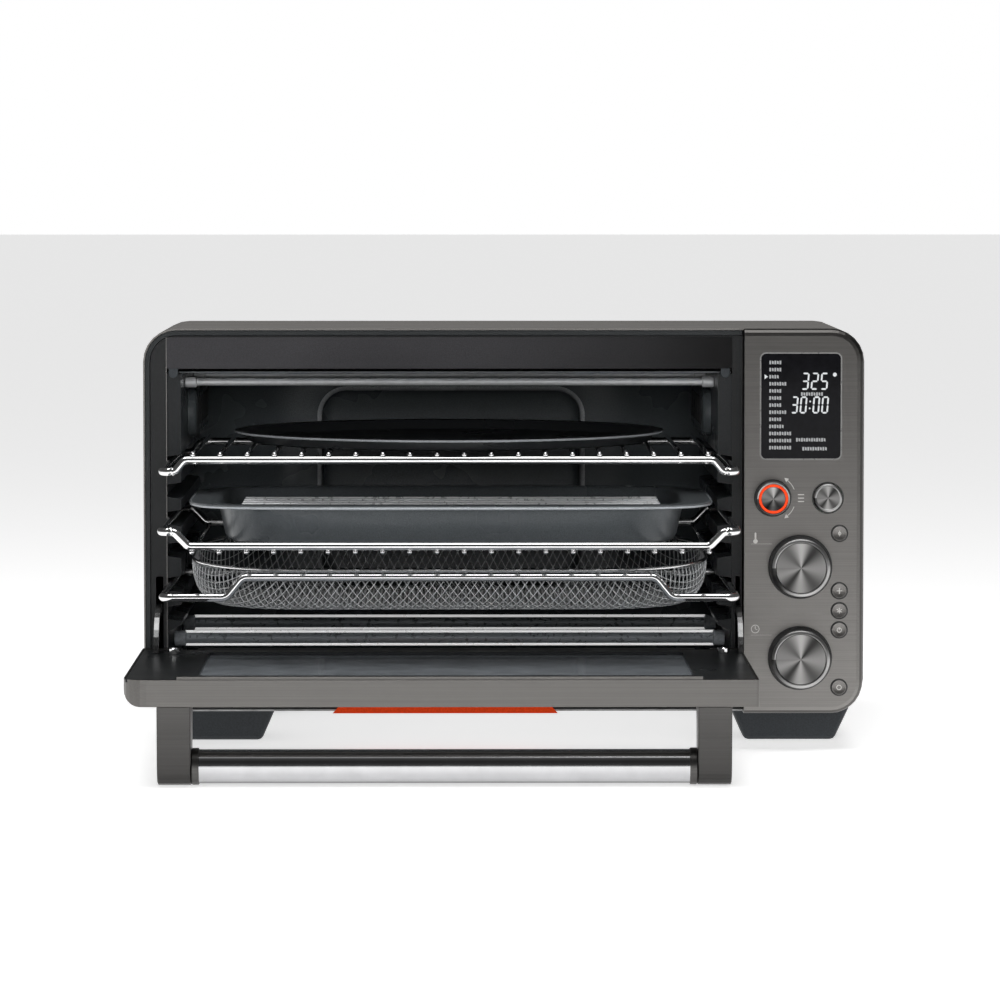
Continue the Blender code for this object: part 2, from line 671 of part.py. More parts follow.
def make_door_frame():
    low, high = DOOR_Z
    x0, x1 = DOOR_X
    outline = rounded([(x0, -DOOR_REACH), (x1, -DOOR_REACH), (x1, 0), (x0, 0)], [DOOR_CORNER, 2, 0, 0], 6)
    frame = prism("door_frame", "xy", [outline], low, high, "black_stainless")
    boolean(frame, prism("door_section", "yz", [door_section()], x0 - 2, x1 + 2), "INTERSECT")
    corners = [(x0, high + 2), (x0, low), (x1 + 2, low), (x1 + 2, high + 2)]
    ends = rounded(corners, [0, DOOR_ROUND, 0, 0], 6)
    boolean(frame, prism("door_rounding", "xz", [ends], -DOOR_REACH - 5, 30), "INTERSECT")
    join(frame, box("door_lip", (-234.5, -266.6, high - 2), (139, -261, high + 2.3)))
    upper = rectangle(x0 + SKIN, x1 - SKIN, -260.7, -31)
    cut(frame, prism("door_upper_pocket", "xy", [upper], high - 2.3, high + 1))
    lower = rectangle(x0 + 8, x1 - SKIN, -260.7, -31)
    cut(frame, prism("door_lower_pocket", "xy", [lower], low + SKIN, high - 2))
    cut(frame, prism("door_window", "xy", [rectangle(*WINDOW, 6, 4)], low - 5, low + 5))
    for side, middle in zip(("left", "right"), HINGE_X):
        cut(frame, box(f"{side}_hinge_notch", (middle - 6, -30.5, low - 5), (middle + 6, 5, high + 5)))
        start = (middle - 12.4, *PIVOT)
        cut(frame, rod(f"{side}_hinge_bore", start, (1, 0, 0), HINGE_PIN + GAP, 24.8, steps=16))
    return frame


def make_door():
    low, high = DOOR_Z
    x0, x1 = DOOR_X
    inset = SKIN + GAP
    outline = rectangle(x0 + inset, x1 - inset, -260.4, -31.3, 1, 2)
    window = rectangle(*WINDOW, 6, 4)
    inner = prism("door_inner_panel", "xy", [outline, window], high - 2, high - 0.2, "enamel")
    a, b, c, d = WINDOW
    pane = rectangle(a - 8, b + 8, c - 8, d + 8, 4, 3)
    pieces = [make_door_frame(), inner]
    for name, level in (("door_outer_glass", low + 3.0), ("door_inner_glass", high - 6.3)):
        pieces.append(prism(name, "xy", [pane], level, level + 4, "glass"))
    magnet_x = (-247, 163)
    for k, side in enumerate(("left", "right")):
        hinge_bracket(f"{side}_hinge_bracket", HINGE_X[k])
        pieces.append(hinge_arm(f"{side}_hinge_arm", ARM_X[k]))
        pieces.append(handle_bracket(f"{side}_handle_bracket", BRACKET_X[k]))
        start = (magnet_x[k], -62, high)
        pieces.append(rod(f"{side}_rack_magnet", start, (0, 0, 1), 4.2, 4.5, "chrome", 20, edge=0.8))
    reach = BRACKET_X[1][0] - BRACKET_X[0][1] - 2 * GAP
    bar, collar = BAR_RADIUS, 5
    profile = [
        (0, reach), (bar + 1, reach), (bar + 1, reach - collar), (bar, reach - collar - 0.4),
        (bar, collar + 0.4), (bar + 1, collar), (bar + 1, 0), (0, 0),
    ]
    start = (BRACKET_X[0][1] + GAP, BAR_Y, BAR_Z)
    pieces.append(turned("handle_bar", profile, start, (1, 0, 0), "chrome", 32))
    hang_on("door_pivot", (0, *PIVOT), *pieces)


def hinge_bracket(name, middle):
    """The fixed plate of a hinge with its pin, standing in a notch of the door."""
    lug = [around_pivot(7, 135 - 15 * k) for k in range(13)]
    outline = [(1.3, 56.5), *lug, (-5, 42), (1.3, 42)]
    plate = prism(name, "yz", [outline], middle - 4, middle + 4, "galvanised")
    return join(plate, rod(f"{name}_pin", (middle - 12, *PIVOT), (1, 0, 0), HINGE_PIN, 24.0, steps=16))


def hinge_arm(name, x):
    """A flat arm curved about the hinge axis, so that it slides through its slot."""
    rise = DOOR_Z[1] + GAP - PIVOT[1]
    outline = []
    for radius, order in ((ARM_OUTER, 1), (ARM_INNER, -1)):
        start = math.degrees(math.asin(rise / radius))
        turns = [start + (ARM_TIP - start) * k / 14 for k in range(15)]
        outline += [around_pivot(radius, a) for a in turns[::order]]
    return prism(name, "yz", [outline], x, x + ARM_WIDTH, "chrome")


def handle_bracket(name, span):
    top = DOOR_Z[0] - GAP
    round_end = 13.2
    arc = [
        (BAR_Y + round_end * math.cos(math.radians(a)), BAR_Z + round_end * math.sin(math.radians(a)))
        for a in range(0, -181, -20)
    ]
    outline = [(-262, top), (-226, top), (-231, top - 14)] + arc + [(-261, 34)]
    return bevel(prism(name, "yz", [outline], *span, "black_stainless"), 0.8, 1, 40)


# ---- racks ----
def rack_loop(front, ear, rise, bend):
    """The bent frame wire of a rack: ears at the sides, raised rails at front and back."""
    rail, drop = bend
    run = [(-RACK_HALF, 0, 8), (-drop, 0, 5), (-rail, rise, 5)]
    run += [(-x, z, radius) for x, z, radius in reversed(run)]
    corners, radii = [], []
    for y, order in ((front, 1), (front + RACK_DEPTH, -1)):
        for x, z, radius in run[::order]:
            corners.append((CAVITY_X + x, y, ear + z))
            radii.append(radius)
    return rounded(corners, radii, 3)


def wire_rack(name, front, ear, rise, bend):
    frame = tube(name, rack_loop(front, ear, rise, bend), FRAME_WIRE, "chrome", closed=True)
    level = ear + rise + math.copysign(FRAME_WIRE + CROSS_WIRE - 0.9, rise)
    first = CAVITY_X + CROSS_SHIFT - CROSS_PITCH * (CROSS_COUNT - 1) / 2
    start = (first, front - 1.5, level)
    wires = rod(f"{name}_wires", start, (0, 1, 0), CROSS_WIRE, RACK_DEPTH + 3, steps=6)
    return join(frame, repeat(wires, CROSS_COUNT, (CROSS_PITCH, 0, 0)))


def superellipse(x, y, z, half_x, half_y, power=4.0, steps=32, lift=0.0):
    """A rounded rectangle as a smooth closed loop, raised towards the rear by lift."""
    loop = []
    for k in range(steps):
        turn = 2 * math.pi * (k + 0.5) / steps
        c, s = math.cos(turn), math.sin(turn)
        u = math.copysign(abs(c) ** (2 / power), c)
        v = math.copysign(abs(s) ** (2 / power), s)
        loop.append((x + half_x * u, y + half_y * v, z + lift * (v + 1) / 2))
    return loop


def make_racks():
    upper = wire_rack("upper_rack", *UPPER_RACK, UPPER_BEND)
    hang_on("upper_rack_slide", (CAVITY_X, UPPER_RACK[0], UPPER_RACK[1]), upper)
    middle = wire_rack("middle_rack", *MIDDLE_RACK, MIDDLE_BEND)
    roasting_pieces = make_roasting_pan()
    hang_on("middle_rack_slide", (CAVITY_X, MIDDLE_RACK[0], MIDDLE_RACK[1]), middle, *roasting_pieces)
    make_basket()


def make_pizza_pan():
    radius = PAN_RADIUS
    dish = [
        (0, 1.2), (radius - 14, 1.2), (radius - 11, 2.0), (radius - 7, 8.4), (radius - 0.6, 9.0),
        (radius, 8.4), (radius, 7.8), (radius - 6.4, 7.2), (radius - 10.4, 0.8), (radius - 13, 0), (0, 0),
    ]
    turned("pizza_pan", dish, (CAVITY_X, PAN_Y, PAN_Z), (0, 0, 1), "enamel", 40)


def make_roasting_pan():
    """The roasting pan with handle ends, and the wire broil rack standing in it."""
    x, y, z = ROASTER_X, ROASTER_Y, ROASTER_Z
    sections = [  # height over the floor, half length, half depth, squareness
        (29.2, 196.0, 126.5, 5.0), (30.3, 177.0, 121.0, 6.0), (28.5, 173.5, 118.0, 6.0),
        (5.0, 168.0, 112.0, 6.0), (0.0, 162.0, 106.0, 6.0),
    ]
    loops = [superellipse(x, y, z + height, long, deep, power) for height, long, deep, power in sections]
    pan = loft("roasting_pan", loops, "enamel", 1.0)

    floor, height = z + 1.9, z + 25.0
    low_y, high_y = BROIL_Y, BROIL_Y + BROIL_PITCH * (BROIL_COUNT - 1)
    start = (x - BROIL_HALF, low_y, height + 2.3)
    rack = rod("broil_rack", start, (1, 0, 0), BROIL_WIRE, 2 * BROIL_HALF, "chrome", steps=6)
    repeat(rack, BROIL_COUNT, (0, BROIL_PITCH, 0))
    for k, from_centre in enumerate((3 - BROIL_HALF, 0, BROIL_HALF - 3)):
        side_x = x + from_centre
        path = [
            (side_x, low_y - 4, floor), (side_x, low_y - 4, height),
            (side_x, high_y + 4, height), (side_x, high_y + 4, floor),
        ]
        join(rack, tube(f"broil_support_{k}", rounded(path, 3, 2, closed=False), BROIL_WIRE))
    return pan, rack


def make_basket():
    """The air-fry basket: a tub of mesh and the bent wire that carries it."""
    x, y = CAVITY_X, BASKET_Y + 129.5
    half_x, half_y = 194.0, 117.0
    sections = [  # height, inset in x, inset in y, rise at the rear
        (143.5, 0, 0, 13.0), (126.0, 5, 6, 0), (115.5, 20, 18, 0), (113.5, 34, 30, 0),
    ]
    loops = [
        superellipse(x, y, z, half_x - in_x, half_y - in_y, 3.4, 36, lift) for z, in_x, in_y, lift in sections
    ]
    tub = loft("basket_mesh", loops, "mesh", 1.0)
    rail, drop = BASKET_BEND
    run = [(-RACK_HALF, 0), (-drop, 0), (-rail, BASKET_RISE), (rail, BASKET_RISE), (drop, 0), (RACK_HALF, 0)]
    corners = [(x + u, BASKET_Y, BASKET_Z + v) for u, v in run]
    back = BASKET_Y + BASKET_DEPTH
    corners += [(x + RACK_HALF, back, BASKET_Z), (x - RACK_HALF, back, BASKET_Z)]
    carrier = tube("basket_frame", rounded(corners, 8, 4), FRAME_WIRE, "chrome", closed=True)
    hang_on("basket_slide", (x, BASKET_Y, BASKET_Z), tub, carrier)


def make_crumb_tray():
    half_x, half_y, square = 164.5, 146.0, 30.0
    rim = superellipse(CAVITY_X, TRAY_Y, TRAY_Z + 6.3, half_x, half_y, square, 24)
    floor = superellipse(CAVITY_X, TRAY_Y, TRAY_Z, half_x - 1.5, half_y - 1.5, square, 24)
    tray = loft("crumb_tray", [rim, floor], "galvanised", 1.0)
    outline = [(-8, 27.4), (-6.8, 27.4), (-6.8, 31.6), (11, 31.6), (11, 32.8), (-8, 32.8)]
    grip = prism("crumb_tray_grip", "yz", [outline], -130, 41, "orange")
    hang_on("crumb_tray_slide", (CAVITY_X, 0, TRAY_Z), tray, grip)


make_casing()
make_front()
make_cavity()
make_controls()
make_door()
make_racks()
make_pizza_pan()
make_crumb_tray()
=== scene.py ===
"""Looks of the countertop toaster oven: materials, fine pieces, studio and camera.

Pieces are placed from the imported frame's boxes. Sizes written here are millimetres,
turned into metres by MM; y is measured back from the oven's front edge.
"""

import math

import bmesh
import bpy
from mathutils import Matrix, Vector


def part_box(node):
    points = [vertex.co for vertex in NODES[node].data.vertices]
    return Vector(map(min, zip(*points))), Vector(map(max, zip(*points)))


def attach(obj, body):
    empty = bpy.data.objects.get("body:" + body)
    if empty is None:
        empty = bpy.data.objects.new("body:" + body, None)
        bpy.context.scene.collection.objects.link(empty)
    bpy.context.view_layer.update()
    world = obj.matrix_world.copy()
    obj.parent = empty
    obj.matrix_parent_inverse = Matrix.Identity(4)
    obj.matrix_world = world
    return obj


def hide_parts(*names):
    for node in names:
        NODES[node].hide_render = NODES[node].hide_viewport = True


MM = 0.001
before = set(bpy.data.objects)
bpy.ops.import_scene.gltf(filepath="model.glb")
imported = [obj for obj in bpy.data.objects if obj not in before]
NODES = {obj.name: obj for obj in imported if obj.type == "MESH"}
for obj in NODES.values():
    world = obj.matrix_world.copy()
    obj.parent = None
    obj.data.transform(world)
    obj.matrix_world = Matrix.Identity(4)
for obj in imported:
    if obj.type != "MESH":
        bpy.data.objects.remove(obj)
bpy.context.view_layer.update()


def node_box(node):
    """A node's corners in millimetres, with y measured back from the front edge."""
    low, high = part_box(node)
    shift = Vector((0, FRONT_Y, 0))
    return Vector(low) / MM - shift, Vector(high) / MM - shift


FRONT_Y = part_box("outer_shell")[0][1] / MM


def at(x, y, z):
    return Vector((x, y + FRONT_Y, z)) * MM


def centre_of(low, high):
    """The middle of a box, as x, y and z."""
    return [(a + b) / 2 for a, b in zip(low, high)]


# ---- materials ----
BUMP_DEPTH = 0.05  # of scratches and specks, in millimetres
FINE_GRAIN = (5, 1600, 1600)


def set_stops(ramp, stops):
    """Gives a colour ramp its stops, each a (position, colour)."""
    elements = ramp.color_ramp.elements
    while len(elements) < len(stops):
        elements.new(0.5)
    for element, (position, colour) in zip(elements, stops):
        element.position = position
        element.color = (*colour, 1.0)


class Paint:
    """A Principled material with helpers that add procedural detail."""

    def __init__(self, name, colour, metallic, roughness, **sockets):
        self.material = bpy.data.materials.new(name)
        self.material.use_nodes = True
        self.nodes = self.material.node_tree.nodes
        self.links = self.material.node_tree.links
        self.shader = self.nodes["Principled BSDF"]
        self.colour = colour
        self.set("Base Color", (*colour, 1.0))
        self.set("Metallic", metallic)
        self.set("Roughness", roughness)
        for socket, value in sockets.items():
            self.set(socket.replace("_", " "), value)
        self.coords = self.nodes.new("ShaderNodeTexCoord").outputs["Object"]

    def set(self, socket, value):
        self.shader.inputs[socket].default_value = value

    def stretched(self, scale):
        mapping = self.nodes.new("ShaderNodeMapping")
        mapping.inputs["Scale"].default_value = scale
        self.links.new(self.coords, mapping.inputs["Vector"])
        return mapping.outputs["Vector"]

    def noise(self, vector, scale, detail):
        texture = self.nodes.new("ShaderNodeTexNoise")
        texture.inputs["Scale"].default_value = scale
        texture.inputs["Detail"].default_value = detail
        self.links.new(vector, texture.inputs["Vector"])
        return texture.outputs["Fac"]

    def part(self, vector, axis):
        split = self.nodes.new("ShaderNodeSeparateXYZ")
        self.links.new(vector, split.inputs["Vector"])
        return split.outputs[axis]

    def along(self, axis):
        """The place along an axis of the piece, in metres."""
        return self.part(self.coords, axis)

    def facing(self, axis):
        """How far the surface faces along an axis of the piece, from -1 to 1."""
        return self.part(self.nodes.new("ShaderNodeTexCoord").outputs["Normal"], axis)

    def ranged(self, value, low, high, start=0.3, end=0.7):
        node = self.nodes.new("ShaderNodeMapRange")
        node.inputs["From Min"].default_value = start
        node.inputs["From Max"].default_value = end
        node.inputs["To Min"].default_value = low
        node.inputs["To Max"].default_value = high
        self.links.new(value, node.inputs["Value"])
        return node.outputs["Result"]

    def tint(self, value, low, high):
        """Varies the colour by a factor that follows value."""
        ramp = self.nodes.new("ShaderNodeValToRGB")
        ends = ((0.3, low), (0.7, high))
        set_stops(ramp, [(place, [min(1, c * share) for c in self.colour]) for place, share in ends])
        self.links.new(value, ramp.inputs["Fac"])
        self.links.new(ramp.outputs["Color"], self.shader.inputs["Base Color"])
        return self

    def shade(self, value):
        """Multiplies the colour by value."""
        mix = self.nodes.new("ShaderNodeVectorMath")
        mix.operation = "SCALE"
        colour = self.shader.inputs["Base Color"]
        self.links.new(colour.links[0].from_socket, mix.inputs[0])
        self.links.new(value, mix.inputs["Scale"])
        self.links.new(mix.outputs["Vector"], colour)
        return self

    def rough(self, value, low, high):
        self.links.new(self.ranged(value, low, high), self.shader.inputs["Roughness"])
        return self

    def bump(self, value, strength):
        node = self.nodes.new("ShaderNodeBump")
        node.inputs["Strength"].default_value = strength
        node.inputs["Distance"].default_value = BUMP_DEPTH * MM
        self.links.new(value, node.inputs["Height"])
        self.links.new(node.outputs["Normal"], self.shader.inputs["Normal"])
        return self


def brushed(name, colour, roughness, grain=(10, 700, 700), strength=0.12):
    """Metal brushed along the direction with the smallest grain number."""
    paint = Paint(name, colour, 1.0, roughness)
    streaks = paint.noise(paint.stretched(grain), 1.0, 4.0)
    paint.tint(streaks, 0.9, 1.1)
    paint.rough(streaks, roughness - 0.04, roughness + 0.05)
    return paint.bump(streaks, strength)


def speckled(name, colour, roughness, speck, metallic=0.0, specular=0.5, **sockets):
    """A finish with fine specks, of the scale speck, and a slow change in gloss."""
    paint = Paint(name, colour, metallic, roughness, Specular_IOR_Level=specular, **sockets)
    specks = paint.noise(paint.coords, speck, 2.0)
    cloud = paint.noise(paint.coords, 14.0, 3.0)
    paint.tint(specks, 0.8, 1.25)
    paint.rough(cloud, roughness * 0.85, roughness * 1.2)
    return paint.bump(specks, 0.08)


def polished(name, colour, roughness):
    """Bright plating with faint wipe marks."""
    paint = Paint(name, colour, 1.0, roughness)
    marks = paint.noise(paint.stretched((60, 60, 60)), 1.0, 5.0)
    paint.tint(marks, 0.94, 1.04)
    return paint.rough(marks, roughness * 0.7, roughness * 1.4)


def plated(name, colour, roughness, painted_glow=0.0):
    """Dull bright plating, half mirror and half paint, which may be given a little emission as a painted
    glow.
    """
    paint = Paint(name, colour, 0.45, roughness, Emission_Color=(*colour, 1.0), Emission_Strength=painted_glow)
    marks = paint.noise(paint.coords, 220.0, 3.0)
    paint.tint(marks, 0.92, 1.06)
    return paint.rough(marks, roughness * 0.8, roughness * 1.3)


def glowing(name, colour, strength):
    paint = Paint(name, colour, 0.0, 0.5, Specular_IOR_Level=0.1)
    cloud = paint.noise(paint.coords, 400.0, 1.0)
    paint.tint(cloud, 0.95, 1.05)
    paint.set("Emission Color", (*colour, 1.0))
    paint.set("Emission Strength", strength)
    return paint


def turned_face(name, colour, sectors):
    """A radially brushed face: light and dark sectors about the piece's z axis, painted as the brushing's
    reflections, with fine rings.
    """
    paint = Paint(name, colour, 1.0, 0.3)
    wheel = paint.nodes.new("ShaderNodeTexGradient")
    wheel.gradient_type = "RADIAL"
    paint.links.new(paint.coords, wheel.inputs["Vector"])
    ramp = paint.nodes.new("ShaderNodeValToRGB")
    ramp.color_ramp.interpolation = "B_SPLINE"
    set_stops(ramp, [(turn, [c * level for c in colour]) for turn, level in sectors])
    paint.links.new(wheel.outputs["Fac"], ramp.inputs["Fac"])
    length = paint.nodes.new("ShaderNodeVectorMath")
    length.operation = "LENGTH"
    paint.links.new(paint.coords, length.inputs[0])
    rings = paint.nodes.new("ShaderNodeTexNoise")
    rings.noise_dimensions = "1D"
    rings.inputs["Scale"].default_value = 2500.0
    rings.inputs["Detail"].default_value = 2.0
    paint.links.new(length.outputs["Value"], rings.inputs["W"])
    paint.rough(rings.outputs["Fac"], 0.3, 0.38)
    paint.links.new(ramp.outputs["Color"], paint.shader.inputs["Base Color"])
    return paint


def shaded_steel(name, colour, roughness, low, high, dark, light):
    """Fine brushed steel with painted shade, which goes from the share light below to the share dark above,
    between two heights in mm.
    """
    paint = brushed(name, colour, roughness, FINE_GRAIN, 0.1)
    return paint.shade(paint.ranged(paint.along("Z"), light, dark, low * MM, high * MM))


def lined_steel(name, colour, roughness, inner):
    """Brushed steel whose upward faces, with the door open, are darkened to the share inner."""
    paint = brushed(name, colour, roughness, FINE_GRAIN, 0.1)
    upward = paint.facing("Z")
    paint.shade(paint.ranged(upward, 1.0, inner, 0.1, 0.4))
    for socket, outside, lining in (("Metallic", 1.0, 0.0), ("Specular IOR Level", 0.5, 0.1)):
        paint.links.new(paint.ranged(upward, outside, lining, 0.1, 0.5), paint.shader.inputs[socket])
    return paint


def shade_painted_edges(paint):
    """Darkens the faces that turn away from the front, as painted shade."""
    return paint.shade(paint.ranged(paint.facing("Y"), 1.0, 0.3, -0.93, -0.6))


def painted_reflection_bands(paint):
    """Paints reflection bands on a turned piece that lies along x: darkens its underside and its upper half.
    """
    upward = paint.facing("Y")
    paint.shade(paint.ranged(upward, 0.12, 1.0, -0.96, -0.8))
    return paint.shade(paint.ranged(upward, 1.0, 0.5, 0.1, 0.3))


def shade_towards_right(paint):
    """Darkens a finish towards the right end of the piece, as painted shade."""
    return paint.shade(paint.ranged(paint.along("X"), 1.0, 0.12, -0.02, 0.16))


DIAL_REFLECTION_SECTORS = [  # share of a turn, and how light the painted reflection makes the sector
    (0.0, 0.9), (0.06, 2.2), (0.12, 0.3), (0.17, 0.1), (0.22, 2.6), (0.27, 2.2), (0.33, 0.25), (0.4, 0.8),
    (0.47, 1.8), (0.55, 1.3), (0.62, 0.2), (0.68, 0.1), (0.74, 3.0), (0.79, 1.6), (0.86, 0.3), (0.94, 1.3),
]
RIM_REFLECTION_SECTORS = [
    (0.0, 0.5), (0.1, 0.2), (0.25, 2.6), (0.4, 0.9), (0.5, 2.2), (0.6, 1.8), (0.75, 0.3), (0.9, 2.0),
]
STEEL = (0.215, 0.207, 0.198)
# The door's steel is the panel's steel painted darker, as shade.
SHADED_DOOR_STEEL = (0.175, 0.169, 0.161)
PAINTS = {
    # panel_steel: painted reflection, lighter below and darker above, and painted shade on the faces that
    # turn away from the front.
    "panel_steel": shade_painted_edges(shaded_steel("panel_steel", STEEL, 0.36, 60, 310, 0.62, 1.12)),
    "door_steel": lined_steel("door_steel", SHADED_DOOR_STEEL, 0.36, 0.06),
    # header_steel: the casing's dark steel painted darker as shade, with more painted shade towards its right
    # end.
    "header_steel": shade_towards_right(speckled("header_steel", (0.036, 0.035, 0.038), 0.5, 1600.0, 0.3, 0.3)),
    # bracket_steel: painted shade, darker towards the bottom of the brackets.
    "bracket_steel": shaded_steel("bracket_steel", (0.1, 0.097, 0.094), 0.36, 10, 60, 1.0, 0.6),
    "collar_steel": brushed("collar_steel", (0.1, 0.097, 0.094), 0.36, (900, 900, 20), 0.08),
    "casing": speckled("casing_steel", (0.15, 0.144, 0.138), 0.55, 1200.0, 0.0, 0.08),
    "trim": speckled("trim_black", (0.016, 0.018, 0.019), 0.35, 1500.0, 0.0, 0.3),
    "frame": speckled("frame_black", (0.015, 0.0155, 0.016), 0.45, 1500.0, 0.0, 0.25),
    "enamel": speckled("cavity_enamel", (0.055, 0.062, 0.066), 0.28, 1100.0),
    # A lighter enamel that paints the highlight on the back wall recess's lip.
    "lip_painted_highlight": speckled("lip_painted_highlight", (0.32, 0.33, 0.34), 0.25, 1100.0),
    # The roasting pan's rim wire: a lighter enamel as a painted highlight.
    "pan_rim": speckled("pan_rim_painted_highlight", (0.34, 0.36, 0.38), 0.22, 1300.0, 0.3),
    # The pizza pan's rim bands: a lighter enamel as a painted highlight.
    "pizza_rim": speckled("pizza_rim_painted_highlight", (0.18, 0.19, 0.2), 0.2, 1300.0),
    "flange": speckled("flange_enamel", (0.011, 0.012, 0.013), 0.4, 1100.0, 0.0, 0.3),
    # A light strip painted as the highlight on the edge of the frame's left post.
    "post_highlight_strip": speckled("post_highlight_strip", (0.16, 0.155, 0.15), 0.4, 900.0, 0.5),
    "pan_enamel": speckled("pan_enamel", (0.064, 0.071, 0.076), 0.3, 1300.0, 0.2),
    "pizza_enamel": speckled("pizza_enamel", (0.012, 0.013, 0.014), 0.3, 1300.0),
    "door_enamel": speckled("door_enamel", (0.01, 0.011, 0.012), 0.3, 1300.0, 0.0, 0.2),
    "galvanised": speckled("galvanised_sheet", (0.42, 0.42, 0.42), 0.42, 120.0, 1.0),
    "arm_steel": polished("arm_steel", (0.16, 0.16, 0.16), 0.25),
    "chrome": polished("bright_chrome", (0.8, 0.8, 0.8), 0.07),
    # bar_chrome: painted reflection bands darken the bar's underside and upper half.
    "bar_chrome": painted_reflection_bands(polished("bar_chrome", (0.56, 0.56, 0.57), 0.1)),
    "wire": plated("mesh_wire", (0.56, 0.57, 0.58), 0.3),
    # The guard wires glow a little: a painted glow standing in for the light they reflect.
    "guard": plated("guard_wire_painted_glow", (0.9, 0.9, 0.9), 0.3, 0.45),
    "tube": plated("heater_sheath", (0.62, 0.63, 0.64), 0.35),
    "quartz": plated("quartz_tube", (0.2, 0.215, 0.23), 0.3),
    "ceramic": speckled("ceramic_end", (0.16, 0.17, 0.18), 0.5, 500.0),
    "window": speckled("window_glass", (0.2, 0.217, 0.235), 0.12, 60.0),
    "lens": speckled("display_lens", (0.004, 0.004, 0.005), 0.06, 200.0, 0.0, 0.12),
    "rubber": speckled("foot_rubber", (0.026, 0.03, 0.034), 0.45, 900.0, 0.0, 0.3),
    # The crumb tray's lip has a little emission: a painted glow standing in for front light on it.
    "orange": speckled(
        "tray_orange_painted_glow", (0.5, 0.035, 0.004), 0.5, 800.0, 0.0, 0.1,
        Emission_Color=(0.6, 0.045, 0.005, 1.0), Emission_Strength=0.35,
    ),
    "ring_orange": glowing("ring_orange", (0.72, 0.05, 0.012), 0.5),
    "board": speckled("board_green", (0.02, 0.1, 0.04), 0.5, 400.0),
    # spun and rim: light and dark sectors painted as reflections.
    "spun": turned_face("spun_face_painted_reflection", (0.17, 0.167, 0.164), DIAL_REFLECTION_SECTORS),
    "rim": turned_face("knob_rim_painted_reflection", (0.24, 0.238, 0.235), RIM_REFLECTION_SECTORS),
    "surround": plated("display_surround", (0.2, 0.198, 0.195), 0.3),
    "knob_side": plated("knob_side", (0.05, 0.05, 0.05), 0.35),
    "gap": speckled("shadow_gap", (0.02, 0.02, 0.02), 0.6, 600.0),
    "button": speckled("button_face", (0.2, 0.192, 0.184), 0.36, 1500.0, 1.0),
    "segment": glowing("display_segment", (0.42, 0.43, 0.44), 0.5),
    "faint_segment": glowing("display_words", (0.26, 0.265, 0.27), 0.3),
    # Printed marks with a faint painted glow.
    "mark": glowing("panel_mark", (0.5, 0.49, 0.47), 0.05),
    "lamp": glowing("lamp_bulb_glass", (0.7, 0.68, 0.6), 0.02),
}
M = {name: paint.material for name, paint in PAINTS.items()}


def glass(name, colour, roughness, transmission):
    paint = Paint(name, colour, 0.0, roughness, IOR=1.5, Transmission_Weight=transmission)
    smears = paint.noise(paint.coords, 20.0, 4.0)
    paint.rough(smears, roughness * 0.6, roughness * 1.6)
    return paint.material


M["door_glass"] = glass("door_glass", (0.25, 0.27, 0.28), 0.05, 0.75)

CAD_FINISH = {
    "casing": ["outer_shell", "rear_panel"],
    "panel_steel": ["control_panel"],
    "door_steel": ["door_frame"],
    "header_steel": ["header_panel"],
    "bracket_steel": ["left_handle_bracket", "right_handle_bracket"],
    "trim": ["bezel_trim"],
    "frame": ["front_frame"],
    "enamel": ["cavity_left_wall", "cavity_right_wall", "cavity_top_wall", "cavity_back_wall"],
    "door_enamel": ["door_inner_panel"],
    "galvanised": [
        "base_pan", "heat_shield", "left_hinge_bracket", "right_hinge_bracket",
        "fan_wheel", "fan_motor", "select_shaft", "crumb_tray",
    ],
    "arm_steel": ["left_hinge_arm", "right_hinge_arm"],
    "chrome": ["left_rack_magnet", "right_rack_magnet"],
    "bar_chrome": ["handle_bar"],
    "window": ["door_inner_glass"],
    "door_glass": ["door_outer_glass"],
    "lens": ["display_window"],
    "rubber": ["front_left_foot", "front_right_foot", "rear_left_foot", "rear_right_foot", "cord_inlet"],
    "orange": ["crumb_tray_grip"],
    "board": ["control_board"],
    "lamp": ["lamp_bulb"],
}


def bevelled(made, width):
    """Rounds a piece's edges a little, so that they catch the light."""
    edges = made.modifiers.new("edges", "BEVEL")
    edges.width = width * MM
    edges.segments = 2
    edges.limit_method = "ANGLE"
    edges.angle_limit = math.radians(40)
    edges.harden_normals = True


def finish_cad_nodes():
    for finish, nodes in CAD_FINISH.items():
        for node in nodes:
            slots = NODES[node].material_slots
            if slots:
                for slot in slots:
                    slot.material = M[finish]
            else:
                NODES[node].data.materials.append(M[finish])
    for node in ("front_frame", "header_panel", "bezel_trim"):
        NODES[node].modifiers.new("weld", "WELD").merge_threshold = 0.00001
        bevelled(NODES[node], 0.35)


# ---- mesh helpers ----
def add(name, data, body, node=None):
    """Links a piece, rides it on its body, and hides the node that it replaces."""
    made = bpy.data.objects.new(name, data)
    bpy.context.scene.collection.objects.link(made)
    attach(made, body)
    if node:
        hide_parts(node)
    return made


def rounded(points, radii, steps=8, closed=True):
    """A polyline with each corner turned into an arc."""
    points = [Vector(p) for p in points]
    path = []
    for i, corner in enumerate(points):
        if not radii[i] or (not closed and i in (0, len(points) - 1)):
            path.append(corner)
            continue
        back = (points[i - 1] - corner).normalized()
        on = (points[(i + 1) % len(points)] - corner).normalized()
        half = back.angle(on) / 2
        centre = corner + (back + on).normalized() * radii[i] / math.sin(half)
        start = corner + back * radii[i] / math.tan(half) - centre
        end = corner + on * radii[i] / math.tan(half) - centre
        turn = math.pi - 2 * half
        for k in range(steps + 1):
            share = k / steps
            mix = start * math.sin((1 - share) * turn) + end * math.sin(share * turn)
            path.append(centre + mix / math.sin(turn))
    return path


